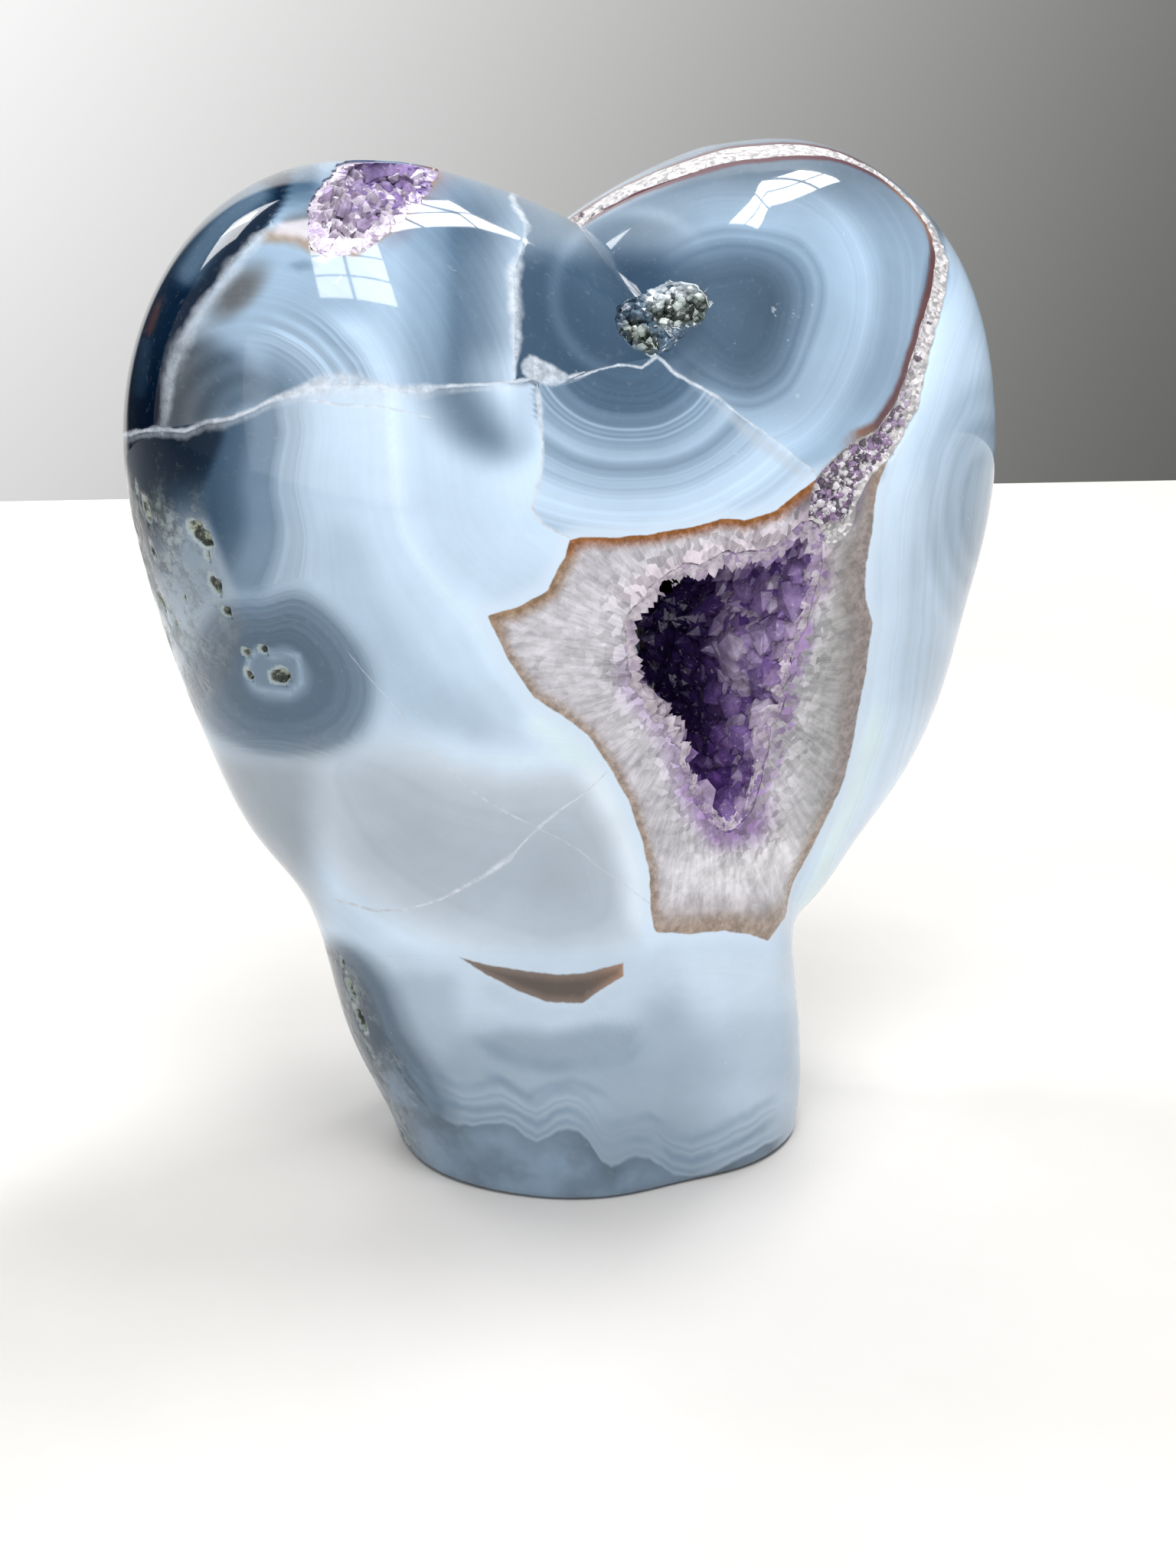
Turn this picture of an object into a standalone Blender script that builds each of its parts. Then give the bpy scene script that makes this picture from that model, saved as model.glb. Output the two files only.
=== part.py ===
"""Upright agate heart on its own oval foot, with crystal lined pockets.

The heart faces -Y and stands on z = 0. All lengths are in metres.
"""

import math
import random

import bmesh
import bpy
import numpy as np
from mathutils import Matrix, Vector

# Rim of the heart seen from the front, x and z of each point. The points below
# z = 0 only shape the foot's walls: the stone is cut off flat at z = 0.
RIM = [
    (0.0475, 0.0700),
    (0.0473, 0.0840),
    (0.0435, 0.0960),
    (0.0360, 0.1040),
    (0.0270, 0.1080),
    (0.0170, 0.1080),
    (0.0005, 0.1085),
    (-0.0165, 0.1087),
    (-0.0270, 0.1093),
    (-0.0365, 0.1060),
    (-0.0443, 0.0970),
    (-0.0478, 0.0845),
    (-0.0465, 0.0700),
    (-0.0435, 0.0580),
    (-0.0405, 0.0487),
    (-0.0370, 0.0404),
    (-0.0320, 0.0328),
    (-0.0290, 0.0240),
    (-0.0260, 0.0125),
    (-0.0215, 0.0017),
    (-0.0175, -0.0120),
    (-0.0095, -0.0290),
    (0.0025, -0.0300),
    (0.0135, -0.0290),
    (0.0200, -0.0170),
    (0.0233, -0.0010),
    (0.0230, 0.0160),
    (0.0260, 0.0228),
    (0.0310, 0.0283),
    (0.0370, 0.0355),
    (0.0425, 0.0467),
    (0.0450, 0.0580),
]
RIM_CENTRE = (0.0040, 0.0600)

# Half of the stone's thickness at several heights: z, half thickness.
HALF_DEPTH = [
    (-0.0300, 0.0200),
    (0.0000, 0.0250),
    (0.0280, 0.0205),
    (0.0600, 0.0260),
    (0.0900, 0.0265),
    (0.1120, 0.0225),
]
HALF_DEPTH_PERIOD = 0.200
ROUNDING = 2.2

# Groove between the two lobes.
CLEFT_X = 0.0005
CLEFT_TOP_Z = 0.1080
CLEFT_DEPTH = 0.0076
CLEFT_HALF_ANGLE = math.radians(20)
CLEFT_SHARPNESS = 1.35
CLEFT_FADE = (0.45, 0.95)

FOOT_CENTRE_X = 0.0008
FOOT_EASE = 0.0012
FOOT_EASE_STEPS = 2

ROUND_STEPS = 80
FACE_STEPS = 10

# Crusts stand clear of the stone by GAP, and their tips are cut flush just
# under the polished face.
GAP = 0.0003
FLUSH = 0.0005
LINING = 0.0013
SPARE = 0.00007

# Each pocket has a place on the stone's face, the direction that its mouth
# faces, the outline of the mouth about that place, and sections going in:
# depth, scale of the outline, shift across and shift up.
HOLLOW = {
    "place": (0.0040, -0.0255, 0.0580),
    "faces": (0.0, -0.987, -0.158),
    "mouth": [
        (-0.0102, 0.0035),
        (-0.0098, 0.0105),
        (-0.0075, 0.0125),
        (-0.0040, 0.0138),
        (0.0010, 0.0143),
        (0.0065, 0.0152),
        (0.0098, 0.0162),
        (0.0108, 0.0100),
        (0.0084, 0.0025),
        (0.0077, -0.0045),
        (0.0070, -0.0100),
        (0.0060, -0.0165),
        (0.0020, -0.0170),
        (-0.0020, -0.0115),
        (-0.0052, -0.0045),
        (-0.0092, 0.0010),
    ],
    "sections": [
        (-0.0040, 1.02, 0.0, 0.0),
        (0.0030, 1.00, 0.0, 0.0),
        (0.0085, 0.97, -0.0014, 0.0008),
        (0.0135, 0.86, -0.0022, 0.0020),
        (0.0180, 0.58, -0.0026, 0.0032),
    ],
    "floor": 0.0210,
    "crystal_radius": (0.0014, 0.0020),
    "crystal_length": (0.0004, 0.0016),
    "spacing": 0.0044,
    "seed": 12,
}
LOBE_PATCH = {
    "place": (-0.0240, -0.0050, 0.1078),
    "faces": (-0.05, -0.35, 0.935),
    "mouth": [
        (-0.0080, -0.0078),
        (-0.0076, -0.0040),
        (-0.0045, 0.0004),
        (-0.0010, 0.0050),
        (0.0040, 0.0078),
        (0.0088, 0.0070),
        (0.0082, 0.0020),
        (0.0050, -0.0030),
        (0.0000, -0.0072),
        (-0.0050, -0.0090),
    ],
    "sections": [
        (-0.0040, 1.05, 0.0, 0.0),
        (0.0020, 1.00, 0.0, 0.0),
        (0.0038, 0.80, 0.0, 0.0),
    ],
    "floor": 0.0044,
    "crystal_radius": (0.0009, 0.0014),
    "crystal_length": (0.0008, 0.0016),
    "spacing": 0.0030,
    "seed": 23,
}
CLEFT_PIT = {
    "place": (0.0018, -0.0172, 0.0950),
    "faces": (-0.06, -0.68, 0.73),
    "mouth": [
        (-0.0052, -0.0010),
        (-0.0020, 0.0022),
        (0.0018, 0.0034),
        (0.0050, 0.0012),
        (0.0036, -0.0016),
        (0.0002, -0.0032),
        (-0.0044, -0.0036),
    ],
    "sections": [
        (-0.0030, 1.10, 0.0, 0.0),
        (0.0018, 1.00, 0.0, 0.0),
        (0.0036, 0.75, 0.0, 0.0),
    ],
    "floor": 0.0042,
    "crystal_radius": (0.0007, 0.0011),
    "crystal_length": (0.0008, 0.0014),
    "spacing": 0.0026,
    "seed": 31,
}


def closed_curve(knots, values, at, period):
    """Smooth curve through values at the knots that repeats after one period."""
    knots = np.array(knots)
    values = np.array(values)
    count = len(knots)
    width = np.diff(np.append(knots, knots[0] + period))
    slope = np.diff(np.append(values, values[0])) / width
    system = np.zeros((count, count))
    for i in range(count):
        system[i, i - 1] += width[i - 1]
        system[i, i] += 2 * (width[i - 1] + width[i])
        system[i, (i + 1) % count] += width[i]
    bend = np.linalg.solve(system, 6 * (slope - np.roll(slope, 1)))
    place = (at - knots[0]) % period + knots[0]
    i = np.clip(np.searchsorted(knots, place, side="right") - 1, 0, count - 1)
    j = (i + 1) % count
    gone = place - knots[i]
    left = width[i] - gone
    curve = (bend[i] * left**3 + bend[j] * gone**3) / (6 * width[i])
    curve += (values[i] / width[i] - bend[i] * width[i] / 6) * left
    curve += (values[j] / width[i] - bend[j] * width[i] / 6) * gone
    return curve


def rim_radius(turn):
    """Distance from the rim's centre to the rim, without the cleft."""
    spokes = np.array(RIM) - RIM_CENTRE
    angles = np.arctan2(spokes[:, 1], spokes[:, 0]) % math.tau
    order = np.argsort(angles)
    radii = np.hypot(spokes[:, 0], spokes[:, 1])
    return closed_curve(angles[order], radii[order], turn, math.tau)


def cleft_angle():
    return math.atan2(CLEFT_TOP_Z - RIM_CENTRE[1], CLEFT_X - RIM_CENTRE[0])


def cleft_dip(turn, spread):
    """Depth of the groove at an angle, fading from the rim towards the faces."""
    away = abs(turn - cleft_angle())
    away = min(away, math.tau - away)
    dip = CLEFT_DEPTH * max(0.0, 1 - away / CLEFT_HALF_ANGLE) ** CLEFT_SHARPNESS
    start, full = CLEFT_FADE
    fade = min(max((spread - start) / (full - start), 0.0), 1.0)
    return dip * fade * fade * (3 - 2 * fade)


def heart_object(name, shrink=0.0):
    """Closed heart on its flat foot, thinner by shrink all round."""
    depth_knots = [z for z, _ in HALF_DEPTH]
    depth_values = [depth for _, depth in HALF_DEPTH]
    rim_x, rim_z = RIM_CENTRE
    mesh = bmesh.new()
    front = mesh.verts.new((rim_x, 0, rim_z))
    back = mesh.verts.new((rim_x, 0, rim_z))
    rings = []
    for step in range(1, 2 * FACE_STEPS):
        swing = math.pi * step / (2 * FACE_STEPS)
        spread = math.sin(swing) ** (2 / ROUNDING)
        side = -math.copysign(abs(math.cos(swing)) ** (2 / ROUNDING), math.cos(swing))
        ring = []
        for i in range(ROUND_STEPS):
            turn = cleft_angle() + math.tau * i / ROUND_STEPS
            radius = float(rim_radius(turn)) - shrink - cleft_dip(turn, spread)
            x = rim_x + spread * radius * math.cos(turn)
            z = rim_z + spread * radius * math.sin(turn)
            depth = float(closed_curve(depth_knots, depth_values, z, HALF_DEPTH_PERIOD))
            ring.append(mesh.verts.new((x, side * (depth - shrink), z)))
        rings.append(ring)
    centre_depth = float(closed_curve(depth_knots, depth_values, rim_z, HALF_DEPTH_PERIOD))
    front.co.y = shrink - centre_depth
    back.co.y = centre_depth - shrink
    for i in range(ROUND_STEPS):
        j = (i + 1) % ROUND_STEPS
        mesh.faces.new((front, rings[0][i], rings[0][j]))
        mesh.faces.new((back, rings[-1][j], rings[-1][i]))
        for near, far in zip(rings, rings[1:]):
            mesh.faces.new((near[i], far[i], far[j], near[j]))
    cut_foot(mesh)
    return finish_object(name, mesh)


def cut_foot(mesh):
    """Cuts the stone off flat at z = 0 and eases the edge of the foot."""
    for vert in mesh.verts:
        if abs(vert.co.z - FOOT_EASE) < 0.0008:
            vert.co.z = FOOT_EASE
    everything = mesh.verts[:] + mesh.edges[:] + mesh.faces[:]
    bmesh.ops.bisect_plane(
        mesh,
        geom=everything,
        dist=0.00001,
        plane_co=(0, 0, FOOT_EASE),
        plane_no=(0, 0, 1),
        clear_inner=True,
    )
    loop = [edge for edge in mesh.edges if edge.is_boundary]
    half_width = max(abs(vert.co.x - FOOT_CENTRE_X) for edge in loop for vert in edge.verts)
    before = 1.0
    for step in range(1, FOOT_EASE_STEPS + 1):
        bow = 0.5 * math.pi * step / FOOT_EASE_STEPS
        scale = 1 - FOOT_EASE * (1 - math.cos(bow)) / half_width
        grown = bmesh.ops.extrude_edge_only(mesh, edges=loop)["geom"]
        for vert in grown:
            if isinstance(vert, bmesh.types.BMVert):
                vert.co.x = FOOT_CENTRE_X + (vert.co.x - FOOT_CENTRE_X) * scale / before
                vert.co.y = vert.co.y * scale / before
                vert.co.z = FOOT_EASE * (1 - math.sin(bow))
        loop = [edge for edge in grown if isinstance(edge, bmesh.types.BMEdge)]
        loop = [edge for edge in loop if edge.is_boundary]
        before = scale
    bmesh.ops.contextual_create(mesh, geom=loop)


def finish_object(name, mesh):
    """Puts a closed mesh in the scene with its faces pointing out."""
    bmesh.ops.recalc_face_normals(mesh, faces=mesh.faces)
    data = bpy.data.meshes.new(name)
    mesh.to_mesh(data)
    mesh.free()
    made = bpy.data.objects.new(name, data)
    bpy.context.scene.collection.objects.link(made)
    return made


def pocket_frame(pocket):
    """Turns a pocket's own right, up and outward directions into the world's."""
    out = Vector(pocket["faces"]).normalized()
    right = Vector((1, 0, 0))
    right = (right - out * right.dot(out)).normalized()
    up = out.cross(right)
    turned = Matrix((right, up, out)).transposed().to_4x4()
    return Matrix.Translation(pocket["place"]) @ turned


def wall_point(pocket, outline_place, level, inset=0.0):
    """Point on a pocket's wall, moved into the pocket by inset.

    outline_place runs along the mouth's points and level along the sections.
    """
    mouth = pocket["mouth"]
    first = int(outline_place) % len(mouth)
    second = (first + 1) % len(mouth)
    spoke = Vector(mouth[first]).lerp(Vector(mouth[second]), outline_place % 1)
    low = min(int(level), len(pocket["sections"]) - 2)
    here = np.array(pocket["sections"][low])
    there = np.array(pocket["sections"][low + 1])
    depth, scale, across, up = here + (there - here) * (level - low)
    reach = spoke.length * scale - inset
    spoke = spoke.normalized() * reach
    return Vector((spoke.x + across, spoke.y + up, -depth + inset))


def pocket_floor(pocket, inset=0.0):
    depth, scale, across, up = pocket["sections"][-1]
    return Vector((across, up, -pocket["floor"] + inset))


def pocket_object(name, pocket, inset=0.0):
    """Closed body that fills a pocket from outside its mouth to its floor."""
    frame = pocket_frame(pocket)
    points = len(pocket["mouth"])
    mesh = bmesh.new()
    rings = []
    for level in range(len(pocket["sections"])):
        ring = [frame @ wall_point(pocket, i, level, inset) for i in range(points)]
        rings.append([mesh.verts.new(point) for point in ring])
    floor = mesh.verts.new(frame @ pocket_floor(pocket, inset))
    mesh.faces.new(rings[0])
    for i in range(points):
        j = (i + 1) % points
        mesh.faces.new((rings[-1][i], rings[-1][j], floor))
        for near, far in zip(rings, rings[1:]):
            mesh.faces.new((near[i], near[j], far[j], far[i]))
    return finish_object(name, mesh)


def add_crystal(mesh, root, direction, radius, length, spin):
    """Six sided crystal with a pointed end, standing on root."""
    direction = direction.normalized()
    side = direction.orthogonal().normalized()
    other = direction.cross(side)
    lower = []
    upper = []
    for i in range(6):
        turn = spin + math.tau * i / 6
        arm = (side * math.cos(turn) + other * math.sin(turn)) * radius
        lower.append(mesh.verts.new(root + arm * 0.9))
        upper.append(mesh.verts.new(root + arm + direction * length))
    tip = mesh.verts.new(root + direction * (length + 1.15 * radius))
    mesh.faces.new(lower[::-1])
    for i in range(6):
        j = (i + 1) % 6
        mesh.faces.new((lower[i], lower[j], upper[j], upper[i]))
        mesh.faces.new((upper[i], upper[j], tip))


def crystals_object(name, pocket):
    """Crystals rooted all over a pocket's lining and leaning into the pocket."""
    frame = pocket_frame(pocket)
    chance = random.Random(pocket["seed"])
    mesh = bmesh.new()
    points = len(pocket["mouth"])
    last = len(pocket["sections"]) - 1
    floor = pocket_floor(pocket, GAP + LINING)
    heart = Vector((floor.x * 0.5, floor.y * 0.5, -pocket["floor"] * 0.25))
    places = [(floor, Vector((0, 0, 1)))]
    down = 0
    level = 0.75
    while level <= last + 0.1:
        ring = [wall_point(pocket, i, min(level, last), GAP + 0.6 * LINING) for i in range(points)]
        around = sum((ring[i] - ring[i - 1]).length for i in range(points))
        count = max(3, round(around / pocket["spacing"]))
        for i in range(count):
            place = (i + 0.5 * (down % 2) + chance.uniform(-0.2, 0.2)) * points / count
            height = min(level + chance.uniform(-0.15, 0.15), last)
            root = wall_point(pocket, place % points, height, GAP + 0.6 * LINING)
            places.append((root, heart - root))
        down += 1
        level += pocket["spacing"] * 0.86 / 0.0045
    for root, direction in places:
        lean = Vector([chance.uniform(-0.35, 0.35) for _ in range(3)])
        radius = chance.uniform(*pocket["crystal_radius"])
        length = chance.uniform(*pocket["crystal_length"])
        direction = direction.normalized() + lean
        spin = chance.uniform(0, math.tau)
        world_direction = frame.to_3x3() @ direction
        add_crystal(mesh, frame @ root, world_direction, radius, length, spin)
    return finish_object(name, mesh)


def combine(body, tool, operation, crossing=False):
    """Cuts or joins a body with a tool that is left out of the model itself."""
    step = body.modifiers.new(tool.name, "BOOLEAN")
    step.operation = operation
    step.object = tool
    step.use_self = crossing
    tool.hide_render = True
    tool.display_type = "WIRE"


def settle(body):
    """Applies a body's cuts and keeps its outer skin, with no void sealed inside."""
    graph = bpy.context.evaluated_depsgraph_get()
    data = bpy.data.meshes.new_from_object(body.evaluated_get(graph))
    mesh = bmesh.new()
    mesh.from_mesh(data)
    left = set(mesh.verts)
    skins = []
    while left:
        front = [left.pop()]
        skin = set(front)
        while front:
            vert = front.pop()
            for edge in vert.link_edges:
                other = edge.other_vert(vert)
                if other in left:
                    left.remove(other)
                    skin.add(other)
                    front.append(other)
        skins.append(skin)
    outer = max(skins, key=len)
    spare = [vert for vert in mesh.verts if vert not in outer]
    bmesh.ops.delete(mesh, geom=spare, context="VERTS")
    body.modifiers.clear()
    mesh.to_mesh(body.data)
    mesh.free()


def material(name, colour, roughness, transmission=0.0):
    made = bpy.data.materials.new(name)
    made.use_nodes = True
    shader = made.node_tree.nodes["Principled BSDF"]
    shader.inputs["Base Color"].default_value = (*colour, 1)
    shader.inputs["Roughness"].default_value = roughness
    shader.inputs["Metallic"].default_value = 0.0
    shader.inputs["Transmission Weight"].default_value = transmission
    return made


def crust_object(name, pocket, look, limit):
    """Lining with crystals on it, cut flush with the stone's face."""
    crust = pocket_object(name, pocket, GAP)
    space = pocket_object(name + "_space", pocket, GAP + LINING)
    points = crystals_object(name + "_points", pocket)
    bounds = pocket_object(name + "_bounds", pocket, GAP - SPARE)
    combine(crust, space, "DIFFERENCE")
    combine(crust, points, "UNION", crossing=True)
    combine(crust, bounds, "INTERSECT")
    combine(crust, limit, "INTERSECT")
    settle(crust)
    crust.data.materials.append(look)
    return crust


for old in list(bpy.data.objects):
    bpy.data.objects.remove(old, do_unlink=True)

agate = material("polished_agate", (0.55, 0.64, 0.75), 0.08)
amethyst = material("amethyst", (0.36, 0.22, 0.52), 0.12, transmission=0.5)
pale_quartz = material("pale_quartz", (0.70, 0.64, 0.76), 0.18, transmission=0.4)
green_quartz = material("green_grey_quartz", (0.24, 0.28, 0.25), 0.3, transmission=0.2)

stone = heart_object("agate_heart")
stone.data.materials.append(agate)
for pocket_name, pocket in (
    ("hollow", HOLLOW),
    ("lobe_patch", LOBE_PATCH),
    ("cleft_pit", CLEFT_PIT),
):
    combine(stone, pocket_object(pocket_name, pocket), "DIFFERENCE")
stone.data.shade_smooth()
stone.data.set_sharp_from_angle(angle=math.radians(35))

under_face = heart_object("under_face", FLUSH)
crust_object("amethyst_crust", HOLLOW, amethyst, under_face)
crust_object("lobe_crust", LOBE_PATCH, pale_quartz, under_face)
crust_object("cleft_crust", CLEFT_PIT, green_quartz, under_face)
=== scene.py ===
import math

import bmesh
import bpy
import numpy as np
from mathutils import Matrix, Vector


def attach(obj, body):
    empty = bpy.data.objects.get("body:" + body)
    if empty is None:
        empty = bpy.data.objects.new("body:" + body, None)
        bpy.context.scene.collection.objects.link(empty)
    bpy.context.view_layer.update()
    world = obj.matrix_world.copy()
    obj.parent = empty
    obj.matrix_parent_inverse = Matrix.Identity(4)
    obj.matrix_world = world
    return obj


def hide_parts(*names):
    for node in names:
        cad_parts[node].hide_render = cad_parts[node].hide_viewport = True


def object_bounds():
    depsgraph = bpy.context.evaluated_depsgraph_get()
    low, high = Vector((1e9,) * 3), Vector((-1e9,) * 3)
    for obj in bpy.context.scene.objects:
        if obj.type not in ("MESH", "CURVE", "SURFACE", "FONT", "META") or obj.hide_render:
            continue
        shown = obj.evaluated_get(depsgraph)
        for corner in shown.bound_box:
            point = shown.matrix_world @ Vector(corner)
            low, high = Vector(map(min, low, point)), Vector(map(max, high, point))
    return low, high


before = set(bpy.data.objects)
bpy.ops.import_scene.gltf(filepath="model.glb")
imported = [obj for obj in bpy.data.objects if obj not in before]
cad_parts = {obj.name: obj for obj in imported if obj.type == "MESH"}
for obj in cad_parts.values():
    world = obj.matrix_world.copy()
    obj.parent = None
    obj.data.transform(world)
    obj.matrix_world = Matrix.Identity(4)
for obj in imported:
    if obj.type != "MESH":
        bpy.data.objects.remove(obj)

cad_box = [[float(value) for value in corner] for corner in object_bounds()]


# The view. The heart stands upright and is seen from its own left and a little
# above, close enough for the near lobe to look larger than the far one.

VIEW_TURN = math.radians(-24.7)
VIEW_RISE = math.radians(19.7)
VIEW_ROLL = math.radians(-0.7)
VIEW_ANGLE = math.radians(29.0)
VIEW_DISTANCE = 0.326
VIEW_AIM_HEIGHT = 0.057
VIEW_AIM_ACROSS = 0.0010
VIEW_AIM_UP = -0.0157
VIEW_WIDE = 1500
VIEW_HIGH = 2000

view_back = np.array([
    math.sin(VIEW_TURN) * math.cos(VIEW_RISE),
    -math.cos(VIEW_TURN) * math.cos(VIEW_RISE),
    math.sin(VIEW_RISE),
])
level_right = np.array([math.cos(VIEW_TURN), math.sin(VIEW_TURN), 0.0])
level_up = np.cross(view_back, level_right)
view_right = level_right * math.cos(VIEW_ROLL) + level_up * math.sin(VIEW_ROLL)
view_up = level_up * math.cos(VIEW_ROLL) - level_right * math.sin(VIEW_ROLL)
view_place = np.array([0.0, 0.0, VIEW_AIM_HEIGHT]) + level_right * VIEW_AIM_ACROSS
view_place = view_place + level_up * VIEW_AIM_UP + view_back * VIEW_DISTANCE

camera_data = bpy.data.cameras.new("view")
camera_data.sensor_fit = "VERTICAL"
camera_data.sensor_height = 24.0
camera_data.lens = 12.0 / math.tan(VIEW_ANGLE / 2)
camera_data.clip_start = 0.01
camera_data.clip_end = 20.0
camera = bpy.data.objects.new("view", camera_data)
bpy.context.scene.collection.objects.link(camera)
turned = np.eye(4)
turned[:3, :3] = np.stack([view_right, view_up, view_back], axis=1)
turned[:3, 3] = view_place
camera.matrix_world = Matrix(turned.tolist())
bpy.context.scene.camera = camera
bpy.context.scene.view_settings.view_transform = "Standard"


# The heart. One piece of banded grey-blue agate, sawn and ground to a plump
# heart on its own oval foot and polished all over. The bands, the healed
# cracks, the quartz round the hollow and the rough rind are all in this stone.

HEART_RIM = [
    (0.0475, 0.0700), (0.0473, 0.0840), (0.0435, 0.0960), (0.0360, 0.1040), (0.0270, 0.1080),
    (0.0170, 0.1080), (0.0005, 0.1085), (-0.0165, 0.1087), (-0.0270, 0.1093), (-0.0365, 0.1060),
    (-0.0443, 0.0970), (-0.0478, 0.0845), (-0.0465, 0.0700), (-0.0435, 0.0580), (-0.0405, 0.0487),
    (-0.0370, 0.0404), (-0.0320, 0.0328), (-0.0290, 0.0240), (-0.0260, 0.0125), (-0.0215, 0.0017),
    (-0.0175, -0.0120), (-0.0095, -0.0290), (0.0025, -0.0300), (0.0135, -0.0290), (0.0200, -0.0170),
    (0.0233, -0.0010), (0.0230, 0.0160), (0.0260, 0.0228), (0.0310, 0.0283), (0.0370, 0.0355),
    (0.0425, 0.0467), (0.0450, 0.0580),
]
HEART_CENTRE = (0.0040, 0.0600)
HALF_THICKNESS = [
    (-0.0300, 0.0200),
    (0.0000, 0.0250),
    (0.0280, 0.0205),
    (0.0600, 0.0260),
    (0.0900, 0.0265),
    (0.1120, 0.0225),
]
THICKNESS_PERIOD = 0.200
PLUMPNESS = 2.2
CLEFT_TURN = math.atan2(0.1080 - HEART_CENTRE[1], 0.0005 - HEART_CENTRE[0])
CLEFT_DEPTH = 0.0076
CLEFT_SPREAD = math.radians(20)
FOOT_CENTRE_X = 0.0008
FOOT_EASE = 0.0012
FOOT_EASE_STEPS = 4
TURNS_ROUND = 520
FRONT_ROWS = 142
BACK_ROWS = 32


def closed_curve(knots, values, at, period):
    """Smooth cubic through the values at the knots, repeating after one period."""
    knots = np.asarray(knots, float)
    values = np.asarray(values, float)
    count = len(knots)
    width = np.diff(np.append(knots, knots[0] + period))
    slope = np.diff(np.append(values, values[0])) / width
    system = np.zeros((count, count))
    for i in range(count):
        system[i, i - 1] += width[i - 1]
        system[i, i] += 2 * (width[i - 1] + width[i])
        system[i, (i + 1) % count] += width[i]
    bend = np.linalg.solve(system, 6 * (slope - np.roll(slope, 1)))
    place = (np.asarray(at) - knots[0]) % period + knots[0]
    i = np.clip(np.searchsorted(knots, place, side="right") - 1, 0, count - 1)
    j = (i + 1) % count
    gone = place - knots[i]
    left = width[i] - gone
    curve = (bend[i] * left**3 + bend[j] * gone**3) / (6 * width[i])
    curve = curve + (values[i] / width[i] - bend[i] * width[i] / 6) * left
    return curve + (values[j] / width[i] - bend[j] * width[i] / 6) * gone


def soft(value, low, high):
    """Goes smoothly from 0 at low to 1 at high, as 3t² - 2t³."""
    t = np.clip((value - low) / (high - low), 0.0, 1.0)
    return t * t * (3 - 2 * t)


def outline_reach(outline, centre, turn):
    """Distance from a centre to a closed outline, at each angle round it."""
    spokes = np.array(outline) - centre
    angles = np.arctan2(spokes[:, 1], spokes[:, 0]) % math.tau
    order = np.argsort(angles)
    reach = np.hypot(spokes[:, 0], spokes[:, 1])
    return closed_curve(angles[order], reach[order], turn, math.tau)


def half_thickness(height):
    """Half the stone's thickness at a height, a smooth curve through the list."""
    heights = [z for z, _ in HALF_THICKNESS]
    halves = [half for _, half in HALF_THICKNESS]
    return closed_curve(heights, halves, height, THICKNESS_PERIOD)


def rim_reach(turn, spread):
    """Rim distance less the cleft, a groove that dies out towards the faces."""
    away = np.abs((turn - CLEFT_TURN + math.pi) % math.tau - math.pi)
    dip = CLEFT_DEPTH * np.clip(1 - away / CLEFT_SPREAD, 0, 1) ** 1.35
    return outline_reach(HEART_RIM, HEART_CENTRE, turn) - dip * soft(spread, 0.45, 0.95)


def on_stone(turn, swing):
    """Point on the stone: turn goes round the rim, swing from front to back.

    The share of the rim's distance is sin(swing)^(2/p) and the depth is the
    half thickness times cos(swing)^(2/p), a plump rounded section.
    """
    spread = np.sin(swing) ** (2 / PLUMPNESS)
    reach = spread * rim_reach(turn, spread)
    x = HEART_CENTRE[0] + reach * np.cos(turn)
    z = HEART_CENTRE[1] + reach * np.sin(turn)
    side = -np.sign(np.cos(swing)) * np.abs(np.cos(swing)) ** (2 / PLUMPNESS)
    return np.stack(np.broadcast_arrays(x, half_thickness(z) * side, z), axis=-1)


def fullness(points):
    """1 on the stone's face, less inside it, by the same rounded section."""
    x = points[..., 0] - HEART_CENTRE[0]
    z = points[..., 2] - HEART_CENTRE[1]
    turn = np.arctan2(z, x)
    whole = rim_reach(turn, np.full(turn.shape, 0.5))
    spread = np.hypot(x, z) / whole
    spread = np.hypot(x, z) / rim_reach(turn, np.clip(spread, 0, 1))
    depth = np.abs(points[..., 1]) / half_thickness(points[..., 2])
    return (spread**PLUMPNESS + depth**PLUMPNESS) ** (1 / PLUMPNESS)


def mesh_object(name, points, faces):
    """A piece at the origin from points in metres and faces as lists of points."""
    data = bpy.data.meshes.new(name)
    data.from_pydata(np.asarray(points, float).tolist(), [], faces)
    made = bpy.data.objects.new(name, data)
    bpy.context.scene.collection.objects.link(made)
    return made


def tube_faces(rows, columns, first=0):
    """Quads between the rows of a grid that closes on itself round its columns."""
    near = first + np.arange(rows - 1)[:, None] * columns + np.arange(columns)
    side = np.roll(near, -1, axis=1)
    return np.stack([near, near + columns, side + columns, side], axis=-1).reshape(-1, 4).tolist()


def turn_faces_out(made):
    mesh = bmesh.new()
    mesh.from_mesh(made.data)
    bmesh.ops.recalc_face_normals(mesh, faces=mesh.faces)
    mesh.to_mesh(made.data)
    mesh.free()


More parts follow.
